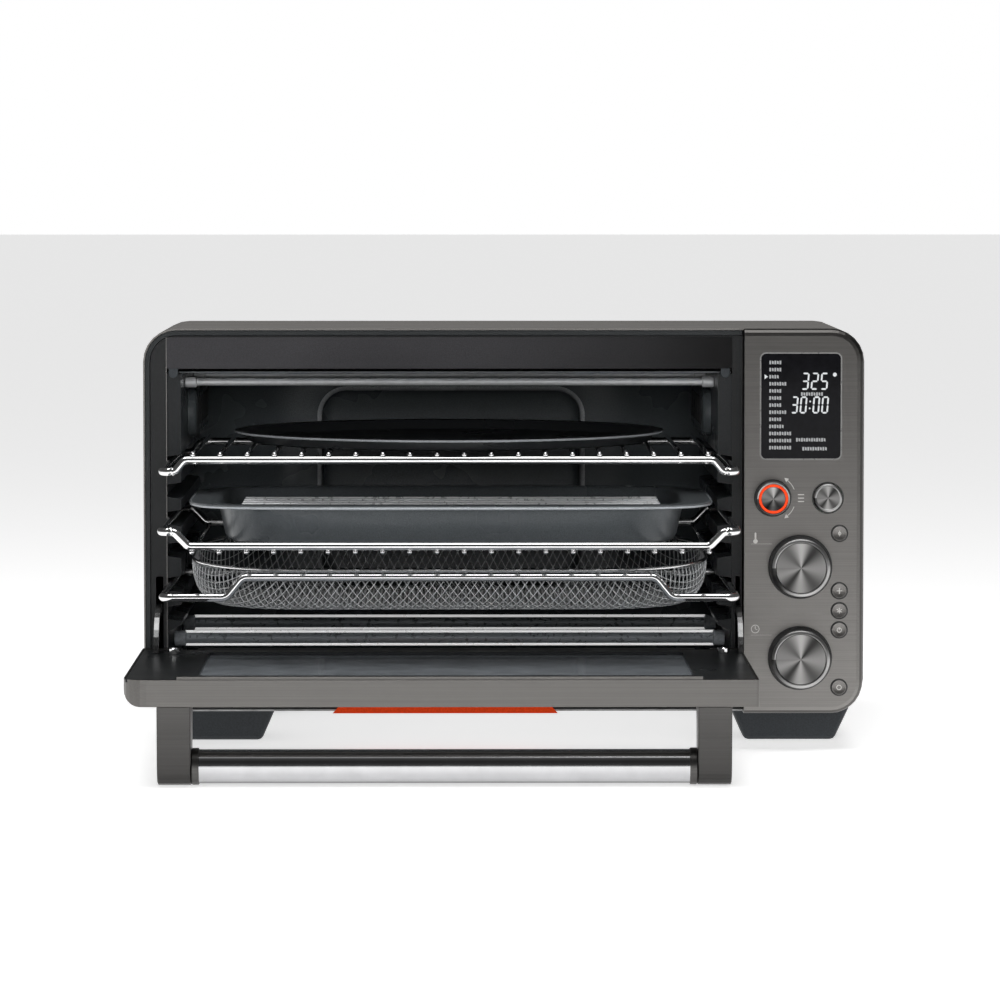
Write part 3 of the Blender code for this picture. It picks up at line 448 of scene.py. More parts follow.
def wires(name, runs, radius, finish, body, node=None, resolution=4):
    """Round wires: each run is (points, closed, rounded ends)."""
    curve = bpy.data.curves.new(name, "CURVE")
    curve.dimensions = "3D"
    curve.bevel_depth = radius * MM
    curve.bevel_resolution = resolution
    curve.use_fill_caps = True
    for points, closed, soft_ends in runs:
        if soft_ends:
            points = end_rounded(points, radius)
        spline = curve.splines.new("POLY")
        spline.points.add(len(points) - 1)
        spline.use_cyclic_u = closed
        spline.use_smooth = True
        last = len(points) - 1
        for k, (point, place) in enumerate(zip(spline.points, points)):
            point.co = (*at(*place), 1.0)
            edge = min(k, last - k)
            if soft_ends and edge < len(END_SHAPE):
                point.radius = END_SHAPE[edge][1]
    curve.materials.append(M[finish])
    return add(name, curve, body, node)


END_SHAPE = ((0.0, 0.25), (0.12, 0.6), (0.4, 0.9), (0.9, 1.0))  # (way in over radius, width)


def end_rounded(points, radius):
    """Adds points near both ends of a run, for its ends to be rounded there."""
    first, last = Vector(points[0]), Vector(points[-1])
    on = (Vector(points[1]) - first).normalized()
    back = (Vector(points[-2]) - last).normalized()
    head = [first + on * radius * way for way, _ in END_SHAPE]
    tail = [last + back * radius * way for way, _ in reversed(END_SHAPE)]
    return head + [Vector(p) for p in points[1:-1]] + tail


def mesh_from(name, build, finishes):
    """A mesh filled by build(bmesh), in millimetres, with the finishes named."""
    mesh = bpy.data.meshes.new(name)
    work = bmesh.new()
    build(work)
    bmesh.ops.recalc_face_normals(work, faces=work.faces)
    bmesh.ops.scale(work, vec=(MM, MM, MM), verts=work.verts)
    work.to_mesh(mesh)
    work.free()
    for finish in finishes:
        mesh.materials.append(M[finish])
    mesh.shade_smooth()
    mesh.set_sharp_from_angle(angle=math.radians(32))
    return mesh


def lathe(name, origin, axis, profile, finishes, body, node=None, steps=72):
    """A turned piece. Each profile entry is (radius, height, finish of the band after it)."""
    def build(work):
        rings = []
        for radius, height, _ in profile:
            if radius < 1e-6:
                rings.append([work.verts.new((0, 0, height))])
                continue
            turns = [2 * math.pi * k / steps for k in range(steps)]
            circle = [(radius * math.cos(a), radius * math.sin(a), height) for a in turns]
            rings.append([work.verts.new(point) for point in circle])
        for (above, below), (_, _, finish) in zip(zip(rings, rings[1:]), profile):
            for k in range(steps):
                n = (k + 1) % steps
                corners = [above[k % len(above)], above[n % len(above)]]
                corners += [below[n % len(below)], below[k % len(below)]]
                corners = list(dict.fromkeys(corners))
                work.faces.new(corners).material_index = finish

    made = add(name, mesh_from(name, build, finishes), body, node)
    made.matrix_world = (
        Matrix.Translation(at(*origin)) @ Vector(axis).to_track_quat("Z", "Y").to_matrix().to_4x4()
    )
    return made


def prism(work, outline, low, high, plane="xz", finish=0):
    """An outline in a plane, as (u, v) points, extruded from low to high across it."""
    def place(u, v, w):
        return {"xz": (u, w, v), "xy": (u, v, w), "yz": (w, u, v)}[plane]

    rows = [[work.verts.new(place(u, v, w)) for u, v in outline] for w in (low, high)]
    faces = [work.faces.new(rows[0]), work.faces.new(rows[1])]
    for k in range(len(outline)):
        n = (k + 1) % len(outline)
        faces.append(work.faces.new((rows[0][k], rows[0][n], rows[1][n], rows[1][k])))
    for face in faces:
        face.material_index = finish


def loft(work, sections, closed=False, finish=lambda step: 0):
    """Skins loops of points from one to the next, and returns their vertices."""
    rows = [[work.verts.new(point) for point in loop] for loop in sections]
    others = rows[1:] + rows[:1] if closed else rows[1:]
    for step, (row, other) in enumerate(zip(rows, others)):
        for k in range(len(row)):
            n = (k + 1) % len(row)
            work.faces.new((row[k], row[n], other[n], other[k])).material_index = finish(step)
    return rows


def polar(x, y, points):
    """Places points given as (radius, turn) round a centre."""
    return [(x + radius * math.cos(turn), y + radius * math.sin(turn)) for radius, turn in points]


def arc(x, y, radius, start, end, steps):
    turns = [math.radians(start + (end - start) * k / steps) for k in range(steps + 1)]
    return polar(x, y, [(radius, turn) for turn in turns])


def box_outline(x0, x1, z0, z1, radius, steps=8):
    outline = arc(x1 - radius, z0 + radius, radius, -90, 0, steps)
    outline += arc(x1 - radius, z1 - radius, radius, 0, 90, steps)
    outline += arc(x0 + radius, z1 - radius, radius, 90, 180, steps)
    return outline + arc(x0 + radius, z0 + radius, radius, 180, 270, steps)


def flat_piece(name, build, finishes, body, node=None):
    """A piece built in place, with y measured from the front edge."""
    made = add(name, mesh_from(name, build, finishes), body, node)
    made.matrix_world = Matrix.Translation(at(0, 0, 0))
    return made


# ---- racks and pans ----
FRAME_WIRE, CROSS_WIRE, CROSS_COUNT, CROSS_PITCH, CROSS_SHIFT = 3.0, 1.9, 20, 19.9, 1.0
CROSS_SUNK, CROSS_PAST = 0.9, 2.6  # how far cross wires are sunk into the frame wire, and pass its middle


def rack(name, node, rise, rail_half, ear_half):
    """A rack's bent frame and cross wires, inside the box of its CAD node."""
    low, high = node_box(node)
    middle, half = (low.x + high.x) / 2, (high.x - low.x) / 2 - FRAME_WIRE
    front, back = low.y + FRAME_WIRE, high.y - FRAME_WIRE
    ear = low.z + FRAME_WIRE if rise > 0 else high.z - FRAME_WIRE
    corners, radii = [], []
    run = [  # place across, rise, and radius of each bend
        (-half, 0, 8), (-ear_half, 0, 5), (-rail_half, rise, 5),
        (rail_half, rise, 5), (ear_half, 0, 5), (half, 0, 8),
    ]
    for y, order in ((front, 1), (back, -1)):
        for x, z, radius in run[::order]:
            corners.append((middle + x, y, ear + z))
            radii.append(radius)
    wires(name, [(rounded(corners, radii), True, False)], FRAME_WIRE, "chrome", node, node, 6)

    level = ear + rise + math.copysign(FRAME_WIRE + CROSS_WIRE - CROSS_SUNK, rise)
    runs = []
    for k in range(CROSS_COUNT):
        x = middle + CROSS_SHIFT + (k - (CROSS_COUNT - 1) / 2) * CROSS_PITCH
        runs.append(([(x, front - CROSS_PAST, level), (x, back + CROSS_PAST, level)], False, True))
    wires(f"{name}_cross_wires", runs, CROSS_WIRE, "chrome", node)


def make_basket():
    """The basket: a bent carrying wire and a tub of diamond wire mesh."""
    low, high = node_box("basket_frame")
    middle, half = (low.x + high.x) / 2, (high.x - low.x) / 2 - FRAME_WIRE
    front, back = low.y + FRAME_WIRE, high.y - FRAME_WIRE
    ear, rail = low.z + FRAME_WIRE, high.z - FRAME_WIRE
    ear_half, rail_half, bend = 164, 152, 8
    run = [(-half, front, ear), (-ear_half, front, ear), (-rail_half, front, rail), (rail_half, front, rail)]
    run += [(ear_half, front, ear), (half, front, ear), (half, back, ear), (-half, back, ear)]
    corners = [(middle + x, y, z) for x, y, z in run]
    runs = [(rounded(corners, [bend] * len(corners)), True, False)]
    wires("basket_carrier", runs, FRAME_WIRE, "chrome", "basket", "basket_frame", 6)

    low, high = node_box("basket_mesh")
    skin = 0.8
    half_x, half_y = (high.x - low.x) / 2 - skin, (high.y - low.y) / 2 - skin
    centre = Vector(centre_of(low, high)[:2])
    floor, rim_front, rim_rear = low.z + skin, low.z + 31.0, high.z - skin
    wall, corner = 22.0, 64.0
    base_x, base_y = half_x - wall, half_y - wall
    pitch_x, pitch_y = 6.2, 9.2
    unfolded = 40.0

    def past(u, v):
        """How far a point of the flat mesh sheet lies past the middles of the floor's corners."""
        inner_x, inner_y = base_x - corner, base_y - corner
        return Vector((max(abs(u) - inner_x, 0.0), max(abs(v) - inner_y, 0.0)))

    def fold(u, v):
        """Wraps a point of the flat mesh sheet round the tub."""
        reach = past(u, v)
        excess = max(reach.length - corner, 0.0)
        if excess == 0.0:
            return Vector((centre.x + u, centre.y + v, floor))
        away = Vector((math.copysign(reach.x, u), math.copysign(reach.y, v))) / reach.length
        share = min(excess, unfolded) / unfolded
        place = Vector((u, v)) - away * excess + away * wall * (1 - (1 - share) ** 2.4)
        tilt = (place.y + half_y) / (2 * half_y)
        rim = rim_front + (rim_rear - rim_front) * max(0.0, min(1.0, tilt))
        return Vector((centre.x + place.x, centre.y + place.y, floor + (rim - floor) * share ** 1.5))

    def build(work):
        made = {}

        def vertex(i, j):
            if (i, j) not in made:
                made[i, j] = work.verts.new(fold(i * pitch_x / 2, j * pitch_y / 2))
            return made[i, j]

        across = int((base_x + unfolded) / pitch_x * 2) + 2
        along = int((base_y + unfolded) / pitch_y * 2) + 2
        for i in range(-across, across + 1):
            for j in range(-along, along + 1):
                if (i + j) % 2:
                    continue
                ends = [(i - 1, j), (i, j - 1), (i + 1, j), (i, j + 1)]
                spans = [past(a * pitch_x / 2, b * pitch_y / 2).length - corner for a, b in ends]
                if sum(span <= unfolded for span in spans) >= 3:
                    work.faces.new([vertex(a, b) for a, b in ends])

    made = flat_piece("basket_wire_mesh", build, ["wire"], "basket", "basket_mesh")
    strands = made.modifiers.new("strands", "WIREFRAME")
    strands.thickness = 1.05 * MM
    strands.use_even_offset = False
    reach_x, reach_y = base_x + unfolded, base_y + unfolded
    sheet = [(-reach_x, -reach_y, 0), (reach_x, -reach_y, 0), (reach_x, reach_y, 0), (-reach_x, reach_y, 0)]
    rim = [fold(u, v) for u, v, _ in rounded(sheet, [corner + unfolded] * 4, 24)]
    wires("basket_rim", [(rim, True, False)], 1.3, "chrome", "basket")


def superellipse(x, y, z, half_x, half_y, power):
    """A loop between an ellipse and a rectangle, squarer with a higher power."""
    loop, steps = [], 112
    for k in range(steps):
        turn = 2 * math.pi * (k + 0.5) / steps
        c, s = math.cos(turn), math.sin(turn)
        u = math.copysign(abs(c) ** (2 / power), c)
        v = math.copysign(abs(s) ** (2 / power), s)
        loop.append(Vector((x + half_x * u, y + half_y * v, z)))
    return loop


def make_pans():
    low, high = node_box("pizza_pan")
    radius, depth = (high.x - low.x) / 2, high.z - low.z
    profile = [
        (0, 1.2), (radius - 14, 1.2), (radius - 12.2, 1.6), (radius - 10.8, 2.6), (radius - 7.4, 7.6),
        (radius - 6.4, 8.3), (radius - 5.0, depth - 0.4), (radius - 1.4, depth), (radius - 0.3, depth - 0.4),
        (radius, depth - 1.2), (radius - 0.5, depth - 1.9), (radius - 5.2, depth - 1.6), (radius - 6.9, 7.0),
        (radius - 10.0, 1.4), (radius - 12.6, 0.2), (radius - 14, 0), (0, 0),
    ]
    # Bands of the rim given a lighter finish, as a painted highlight.
    highlight_bands = (8, 9)
    profile = [(r, h, 1 if k in highlight_bands else 0) for k, (r, h) in enumerate(profile)]
    origin = (*centre_of(low, high)[:2], low.z)
    finishes = ["pizza_enamel", "pizza_rim"]
    lathe("pizza_pan_dish", origin, (0, 0, 1), profile, finishes, "pizza_pan", "pizza_pan", 144)

    low, high = node_box("roasting_pan")
    x, y, _ = centre_of(low, high)
    half_x, half_y = (high.x - low.x) / 2, (high.y - low.y) / 2
    top, floor = high.z - 0.6, low.z + 0.6
    sections = [  # height, inset from the rim in x and y, squareness
        (top - 2.2, 0.8, 0.8, 5.0), (top - 1.0, 0.6, 0.6, 5.0), (top - 0.8, 3.0, 2.2, 5.0),
        (top - 0.6, 16.0, 4.0, 5.4), (top - 0.6, 20.5, 6.0, 6.0), (top - 1.4, 22.0, 7.6, 6.0),
        (top - 3.0, 23.0, 8.6, 6.0),
        (floor + 6.0, 27.5, 13.5, 6.0), (floor + 2.4, 29.5, 15.5, 6.0), (floor + 0.6, 33.0, 19.0, 6.0),
        (floor, 38.0, 24.0, 6.0), (floor, 60.0, 46.0, 6.0),
    ]

    def build(work):
        loops = [
            superellipse(x, y, z, half_x - inset_x, half_y - inset_y, power)
            for z, inset_x, inset_y, power in sections
        ]
        work.faces.new(loft(work, loops)[-1])

    made = flat_piece("roasting_pan_tray", build, ["pan_enamel"], "roasting_pan", "roasting_pan")
    wall = made.modifiers.new("wall", "SOLIDIFY")
    wall.thickness = 1.1 * MM
    wall.offset = 0.0
    loop = superellipse(x, y, top - 1.9, half_x - 1.5, half_y - 1.5, 5.0)
    # The rim's lighter finish is a painted highlight.
    wires("roasting_pan_rim", [(loop, True, False)], 1.5, "pan_rim", "roasting_pan")

    low, high = node_box("broil_rack")
    level = high.z - 1.4
    rows = 4
    runs = []
    edge = 5.4
    for k in range(rows):
        y = low.y + edge + (high.y - low.y - 2 * edge) * k / (rows - 1)
        runs.append(([(low.x, y, level), (high.x, y, level)], False, True))
    wires("broil_rack_wires", runs, 0.8, "wire", "roasting_pan", "broil_rack")
    runs = []
    for x in (low.x + 4.4, (low.x + high.x) / 2, high.x - 4.4):
        feet = [
            (x, low.y + 1.6, low.z), (x, low.y + 1.6, level - 2.6),
            (x, high.y - 1.6, level - 2.6), (x, high.y - 1.6, low.z),
        ]
        runs.append((rounded(feet, [0, 4, 4, 0], 6, closed=False), False, False))
    wires("broil_rack_supports", runs, 1.4, "chrome", "roasting_pan")


# ---- cavity ----
def make_heater(node, radius, guard):
    """A quartz tube with its holders and, where guard is set, a guard wire above and below."""
    low, high = node_box(node)
    long = high.x - low.x
    _, y, z = centre_of(low, high)
    end = (high.z - low.z) / 2
    holder = 9.0
    profile = [
        (0, long, 1), (end - 0.6, long, 1), (end, long - 0.6, 1), (end, long - holder + 0.6, 1),
        (end - 0.6, long - holder, 1), (radius, long - holder - 0.2, 0), (radius, holder + 0.2, 1),
        (end - 0.6, holder, 1), (end, holder - 0.6, 1), (end, 0.6, 1), (end - 0.6, 0, 1), (0, 0, 1),
    ]
    finishes = ["quartz", "ceramic"] if guard else ["tube", "tube"]
    lathe(f"{node}_tube", (low.x, y, z), (1, 0, 0), profile, finishes, "oven_body", node, 40)
    if guard:
        start, stop = low.x + 6.0, high.x - 6.0
        runs = [([(start, y, z + side), (stop, y, z + side)], False, True) for side in (-guard, guard)]
        wires(f"{node}_guards", runs, 1.2, "guard", "oven_body")


def make_louvred_cover(node, side):
    """A raised oval cover with a row of slots, on a side wall of the cavity."""
    low, high = node_box(node)
    face, back = (high.x, low.x) if side < 0 else (low.x, high.x)
    inward = -side
    middle_z, half_z = (low.z + high.z) / 2, (high.z - low.z) / 2

    def oval(inset):
        radius = half_z - inset
        ends = arc(high.y - half_z, middle_z, radius, -90, 90, 16)
        return ends + arc(low.y + half_z, middle_z, radius, 90, 270, 16)

    slots = 15
    pitch = (high.y - low.y - 2 * half_z) / (slots - 1)

    def build(work):
        steps = [(0, 0.0), (4.4, 0.0), (5.8, 0.7), (6.6, 1.9), (6.9, 3.4)]
        loops = [[(back + inward * rise, y, z) for y, z in oval(inset)] for rise, inset in steps]
        work.faces.new(loft(work, loops)[-1])
        for k in range(slots):
            y = low.y + half_z + pitch * k
            # Each slot is a dark prism in the cover's face, painted as the shade inside a hole.
            outline = arc(y, middle_z + 9, 2.0, 0, 180, 8) + arc(y, middle_z - 9, 2.0, 180, 360, 8)
            ends = sorted((face - inward * 0.6, face + inward * 0.15))
            prism(work, outline, *ends, "yz", finish=1)

    return flat_piece(f"{node}_shape", build, ["enamel", "gap"], "oven_body", node)


RECESS = (-145.5, 65.0, 100.0, 259.0)  # pan recess in the back wall
RECESS_CORNER, RECESS_LIP, RECESS_ROUND, SHEET = 20.0, 5.0, 9.0, 0.8
LIP_BANDS = (2, 3, 4, 5)  # bands of the lip, from the wall inwards, given a lighter finish as a painted highlight


def make_back_wall():
    """The back wall, one pressed sheet with a round-edged recess for the end of a round pan."""
    low, high = node_box("cavity_back_wall")
    front, back = low.y, high.y - SHEET
    x0, x1, z0, z1 = RECESS
    sections = [(front, (low.x, high.x, low.z, high.z, 1.0))]
    quarter = [math.pi / 2 * k / 6 for k in range(7)]
    for turn in quarter:
        grow = RECESS_LIP * (1 - math.sin(turn))
        y = front + RECESS_LIP * (1 - math.cos(turn))
        sections.append((y, (x0 - grow, x1 + grow, z0 - grow, z1 + grow, RECESS_CORNER + grow)))
    for turn in quarter:
        inset = RECESS_ROUND * (1 - math.cos(turn))
        y = back - RECESS_ROUND * (1 - math.sin(turn))
        sections.append((y, (x0 + inset, x1 - inset, z0 + inset, z1 - inset, RECESS_CORNER - inset)))

    def build(work):
        loops = [[(x, y, z) for x, z in box_outline(*edges, 10)] for y, edges in sections]
        rows = loft(work, loops, finish=lambda step: 1 if step in LIP_BANDS else 0)
        work.faces.new(rows[-1])

    finishes = ["enamel", "lip_painted_highlight"]
    made = flat_piece("cavity_back_sheet", build, finishes, "oven_body", "cavity_back_wall")
    wall = made.modifiers.new("sheet", "SOLIDIFY")
    wall.thickness = SHEET * MM
    wall.offset = 1.0


RACK_LEVELS = (103.0, 125.0, 151.0, 175.2, 196.0, 217.3)
NOTCH_MOUTH, NOTCH_FLOOR, RIDGE_DEPTH = 6.3, 4.5, 11.9


def make_flanges():
    """The turned-in front edges of the cavity's side walls, notched at each rack level."""
    for side, name in ((-1, "left"), (1, "right")):
        low, high = node_box(f"cavity_{name}_wall")
        groove = low.x if side < 0 else high.x
        ridge, floor = groove - side * (RIDGE_DEPTH + SHEET), groove - side * SHEET
        path = [(floor, low.z), (floor, 88), (ridge, 94)]
        notch = ((ridge, -NOTCH_MOUTH), (floor, -NOTCH_FLOOR), (floor, NOTCH_FLOOR), (ridge, NOTCH_MOUTH))
        for level in RACK_LEVELS:
            path += [(x, level + z) for x, z in notch]
        path += [(ridge, high.z), (groove + side, high.z), (groove + side, low.z)]

        def build(work):
            prism(work, path, 3.1, 3.8)

        flat_piece(f"cavity_{name}_flange", build, ["flange"], "oven_body")


def make_left_post_highlight():
    """A thin light strip on the frame's left post, beside the header, painted as the highlight on the post's
    edge.
    """
    low, high = node_box("header_panel")
    bottom = node_box("front_frame")[0].z + 26

    def build(work):
        outline = box_outline(low.x - 0.6, low.x, bottom, high.z, 0.2, 2)
        prism(work, outline, 0.9, 1.7)

    flat_piece("left_post_edge", build, ["post_highlight_strip"], "oven_body")


def make_cavity():
    make_back_wall()
    make_flanges()
    make_left_post_highlight()
    for end in ("front", "rear"):
        make_heater(f"heater_top_{end}", 2.9, 0.0)
        make_heater(f"heater_bottom_{end}", 4.3, 4.8)
    make_louvred_cover("lamp_cover", -1)
    make_louvred_cover("fan_grille", 1)
    low, high = node_box("header_panel")
    for side, x in (("left", low.x + 5.0), ("right", high.x - 5.0)):
        def build(work):
            outline = arc(x, low.z - 3.4, 3.6, 180, 360, 12) + [(x + 3.6, low.z + 2), (x - 3.6, low.z + 2)]
            prism(work, outline, 1.0, 5.0)

        bevelled(flat_piece(f"{side}_door_buffer", build, ["rubber"], "oven_body"), 0.5)


def make_grip():
    """The crumb tray's lip: a strip with slanting ends on a flange under the tray."""
    low, high = node_box("crumb_tray_grip")
    slant, thick = 4.8, 1.2

    def build(work):
        face = [(low.x, low.z), (high.x, low.z), (high.x - slant, high.z), (low.x + slant, high.z)]
        prism(work, face, low.y, low.y + thick)
        flange = [(low.x + slant, low.y + thick), (high.x - slant, low.y + thick)]
        flange += [(high.x - slant - 8, high.y), (low.x + slant + 8, high.y)]
        prism(work, flange, high.z - thick, high.z, "xy")

    made = flat_piece("crumb_tray_lip", build, ["orange"], "crumb_tray", "crumb_tray_grip")
    bevelled(made, 0.3)


# ---- controls ----
FRONT = (0, -1, 0)
SMALL_BUTTONS = {  # (rays, radius of the ring or 0) drawn on each
    "unit": (2, 1.2), "convection": (4, 0.0), "frozen": (6, 0.0), "repeat": (1, 1.9), "light": (0, 2.0),
}
BUTTON_ROOT = -6.0  # how far the buttons reach behind the panel's face


def on_panel(node):
    """Where a control's axis meets the panel, its radius, and how far it stands out."""
    low, high = node_box(node)
    panel = node_box("control_panel")[0].y
    x, _, z = centre_of(low, high)
    return (x, panel, z), (high.x - low.x) / 2, panel - low.y


def collar(label, origin, radius, wide=0.6, under=0.0, height=0.1, steps=64):
    """A flat dark ring round a control, on the panel, painted as the shadow in the gap."""
    outer, inner = radius + wide, radius - under
    ring = [(outer, 0.0, 0), (outer, height, 0), (inner, height, 0), (inner, 0.0, 0)]
    lathe(f"{label}_gap", origin, FRONT, ring, ["gap"], "oven_body", None, steps)


def make_knob(node, label):
    origin, radius, tall = on_panel(node)
    spin, rim, side = 0, 1, 2
    profile = [
        (0, tall - 0.9, spin), (radius * 0.5, tall - 0.8, spin), (radius - 4.7, tall - 0.5, spin),
        (radius - 4.5, tall - 0.9, side), (radius - 4.2, tall - 0.3, rim), (radius - 3.6, tall, rim),
        (radius - 2.2, tall - 0.5, rim), (radius - 1.5, tall - 1.2, side), (radius - 0.6, tall - 3.0, side),
        (radius - 0.1, 2.0, side),
        (radius, 1.2, rim), (radius - 0.1, 0.8, rim), (radius - 0.5, 0.5, side), (0, 0.5, side),
    ]
    finishes = ["spun", "rim", "knob_side"]
    lathe(label, origin, FRONT, profile, finishes, node, node, 128)
    collar(label, origin, radius, 0.9, 2.0, 0.12, 96)


def make_select_dial():
    node = "select_dial"
    origin, radius, tall = on_panel(node)
    spin, rim, side, orange = 0, 1, 2, 3
    profile = [
        (0, tall - 0.7, spin), (radius - 5.0, tall - 0.6, spin), (radius - 4.6, tall - 0.4, spin),
        (radius - 4.4, tall - 0.9, orange), (radius - 4.2, tall - 0.5, orange),
        (radius - 3.6, tall - 0.3, orange), (radius - 3.0, tall - 0.3, orange),
        (radius - 2.6, tall - 0.6, orange), (radius - 2.5, tall - 1.0, rim),
        (radius - 2.2, tall - 0.2, rim), (radius - 1.2, tall, side), (radius - 0.5, tall - 0.9, side),
        (radius - 0.1, 3.0, side), (radius, 2.4, side), (radius - 0.3, 1.9, side), (0, 1.9, side),
    ]
    finishes = ["spun", "rim", "knob_side", "ring_orange"]
    lathe(f"{node}_turned", origin, FRONT, profile, finishes, node, node, 96)
    collar(node, origin, radius)


def make_start_button():
    node = "start_button"
    origin, radius, _ = on_panel(node)
    spin, rim, side = 0, 1, 2
    profile = [
        (0, 3.0, spin), (radius - 2.6, 3.1, spin), (radius - 2.3, 3.3, rim), (radius - 1.4, 3.3, rim),
        (radius - 0.4, 2.6, rim), (radius - 0.1, 1.6, side), (radius, BUTTON_ROOT, side),
        (0, BUTTON_ROOT, side),
    ]
    finishes = ["spun", "rim", "knob_side"]
    lathe(f"{node}_cap", origin, FRONT, profile, finishes, node, node, 96)
    collar(node, origin, radius + 0.5)


def make_small_button(name):
    node = f"{name}_button"
    origin, radius, _ = on_panel(node)
    profile = [
        (0, 1.45, 0), (radius - 1.6, 1.45, 0), (radius - 1.3, 1.6, 0), (radius - 0.6, 1.6, 1),
        (radius - 0.05, 1.0, 1), (radius, BUTTON_ROOT, 1), (0, BUTTON_ROOT, 1),
    ]
    finishes = ["button", "knob_side"]
    lathe(f"{node}_cap", origin, FRONT, profile, finishes, node, node, 48)
    collar(node, origin, radius)


def ring_mark(work, x, z, radius, steps, low, high):
    """A thin printed ring."""
    for k in range(steps):
        a, b = (2 * math.pi * n / steps for n in (k, k + 1))
        corners = [(radius, a), (radius, b), (radius - 0.5, b), (radius - 0.5, a)]
        prism(work, polar(x, z, corners), low, high)


def make_symbol(name):
    """A plain symbol of rays and a ring on a small button's face."""
    low, high = node_box(f"{name}_button")
    x, _, z = centre_of(low, high)
    front, back = low.y - 0.02, low.y + 0.2
    rays, ring = SMALL_BUTTONS[name]

    def build(work):
        for k in range(rays):
            tip = polar(x, z, [(2.3, 2 * math.pi * k / rays + math.pi / 2)])[0]
            stroke(work, x, z, *tip, 0.55, front, back)
        if ring:
            ring_mark(work, x, z, ring, 20, front, back)

    flat_piece(f"{name}_symbol", build, ["mark"], f"{name}_button")


# which of the seven strokes a figure lights, from the top, clockwise, the middle last
LIT = {"0": "abcdef", "2": "abdeg", "3": "abcdg", "5": "acdfg"}


def stroke(work, x0, z0, x1, z1, width, low, high):
    """A straight stroke with pointed ends on the panel."""
    start, end = Vector((x0, z0)), Vector((x1, z1))
    along = (end - start).normalized()
    across = Vector((-along.y, along.x)) * width / 2
    tip = along * width / 2
    near, far = start + tip, end - tip
    outline = [start, near + across, far + across, end, far - across, near - across]
    prism(work, outline, low, high)


def figure(work, text, x, z, width, height, thick, low, high):
    """Seven-stroke figures, from their lower left corner."""
    slant = 0.08
    for sign in text:
        if sign == ":":
            for level in (0.3, 0.7):
                dot_x, dot_z = x + thick * 0.6 + slant * height * level, z + height * level
                half = thick * 0.7
                stroke(work, dot_x, dot_z - half, dot_x, dot_z + half, thick, low, high)
            x += thick * 2.4
            continue
        gap = thick * 0.15
        w, h = width - thick, height - thick
        points = {
            "a": ((0, h), (w, h)), "b": ((w, h), (w, h / 2)), "c": ((w, h / 2), (w, 0)),
            "d": ((0, 0), (w, 0)), "e": ((0, 0), (0, h / 2)), "f": ((0, h / 2), (0, h)),
            "g": ((0, h / 2), (w, h / 2)),
        }
        for part in LIT[sign]:
            (u0, v0), (u1, v1) = points[part]
            du, dv = (gap, 0) if v0 == v1 else (0, -gap if v1 < v0 else gap)
            a = (x + thick / 2 + u0 + du + slant * v0, z + thick / 2 + v0 + dv)
            b = (x + thick / 2 + u1 - du + slant * v1, z + thick / 2 + v1 - dv)
            stroke(work, *a, *b, thick, low, high)
        x += width * 1.28


WORD_LENGTHS = (5, 5, 4, 7, 5, 5, 5, 7, 5, 6, 9, 9, 9)  # marks in each line of the display's list


def dashes(work, x, z, count, low, high):
    """A line of small upright marks."""
    wide, half, pitch = 1.3, 1.35, 1.9
    for k in range(count):
        left, right = x + pitch * k, x + pitch * k + wide
        notch = 0.45 if k % 2 else 0.0
        outline = [(left, z - half + notch), (right, z - half), (right, z + half - notch), (left, z + half)]
        prism(work, outline, low, high)


LIST_TOP, LIST_PITCH = 0.085, 0.0675  # of the display's list, as shares of its height
FIGURE_TALL, FIGURE_THICK = 13.0, 1.25


def make_display():
    low, high = node_box("display_window")
    face = low.y
    front, back = face - 0.06, face + 0.05
    wide, tall = high.x - low.x, high.z - low.z

    def spot(right, down):
        """A point of the display, by shares of its width and height from the upper left."""
        return low.x + wide * right, high.z - tall * down

    def build(work):
        left, z = spot(0.0, LIST_TOP + LIST_PITCH * 2)
        prism(work, [(left + 2.6, z - 1.8), (left + 5.2, z), (left + 2.6, z + 1.8)], front, back)
        for text, place, width in (("325", (0.5, 0.345), 5.6), ("30:00", (0.37, 0.57), 5.2)):
            figure(work, text, *spot(*place), width, FIGURE_TALL, FIGURE_THICK, front, back)
        right, z = spot(1.0, 0.2)
        prism(work, arc(right - 4.6, z, 1.5, 0, 360, 14)[:-1], front, back)

    flat_piece("display_segments", build, ["segment"], "oven_body")

    def words_build(work):
        for k, count in enumerate(WORD_LENGTHS):
            left, z = spot(0.0, LIST_TOP + LIST_PITCH * k)
            dashes(work, left + 6.2, z, count, front, back)
        for count, right, down in ((9, 0.5, 0.385), (12, 0.44, 0.82), (10, 0.52, 0.905)):
            dashes(work, *spot(right, down), count, front, back)

    flat_piece("display_words", words_build, ["faint_segment"], "oven_body")

    def frame_build(work):
        outer = box_outline(low.x - 0.9, high.x + 0.9, low.z - 0.9, high.z + 0.9, 4.6)
        inner = box_outline(low.x + 0.1, high.x - 0.1, low.z + 0.1, high.z - 0.1, 3.6)
        sections = ((outer, 0.25), (outer, -0.15), (inner, -0.15), (inner, 0.25))
        loft(work, [[(x, face + behind, z) for x, z in outline] for outline, behind in sections], closed=True)

    flat_piece("display_surround", frame_build, ["surround"], "oven_body")


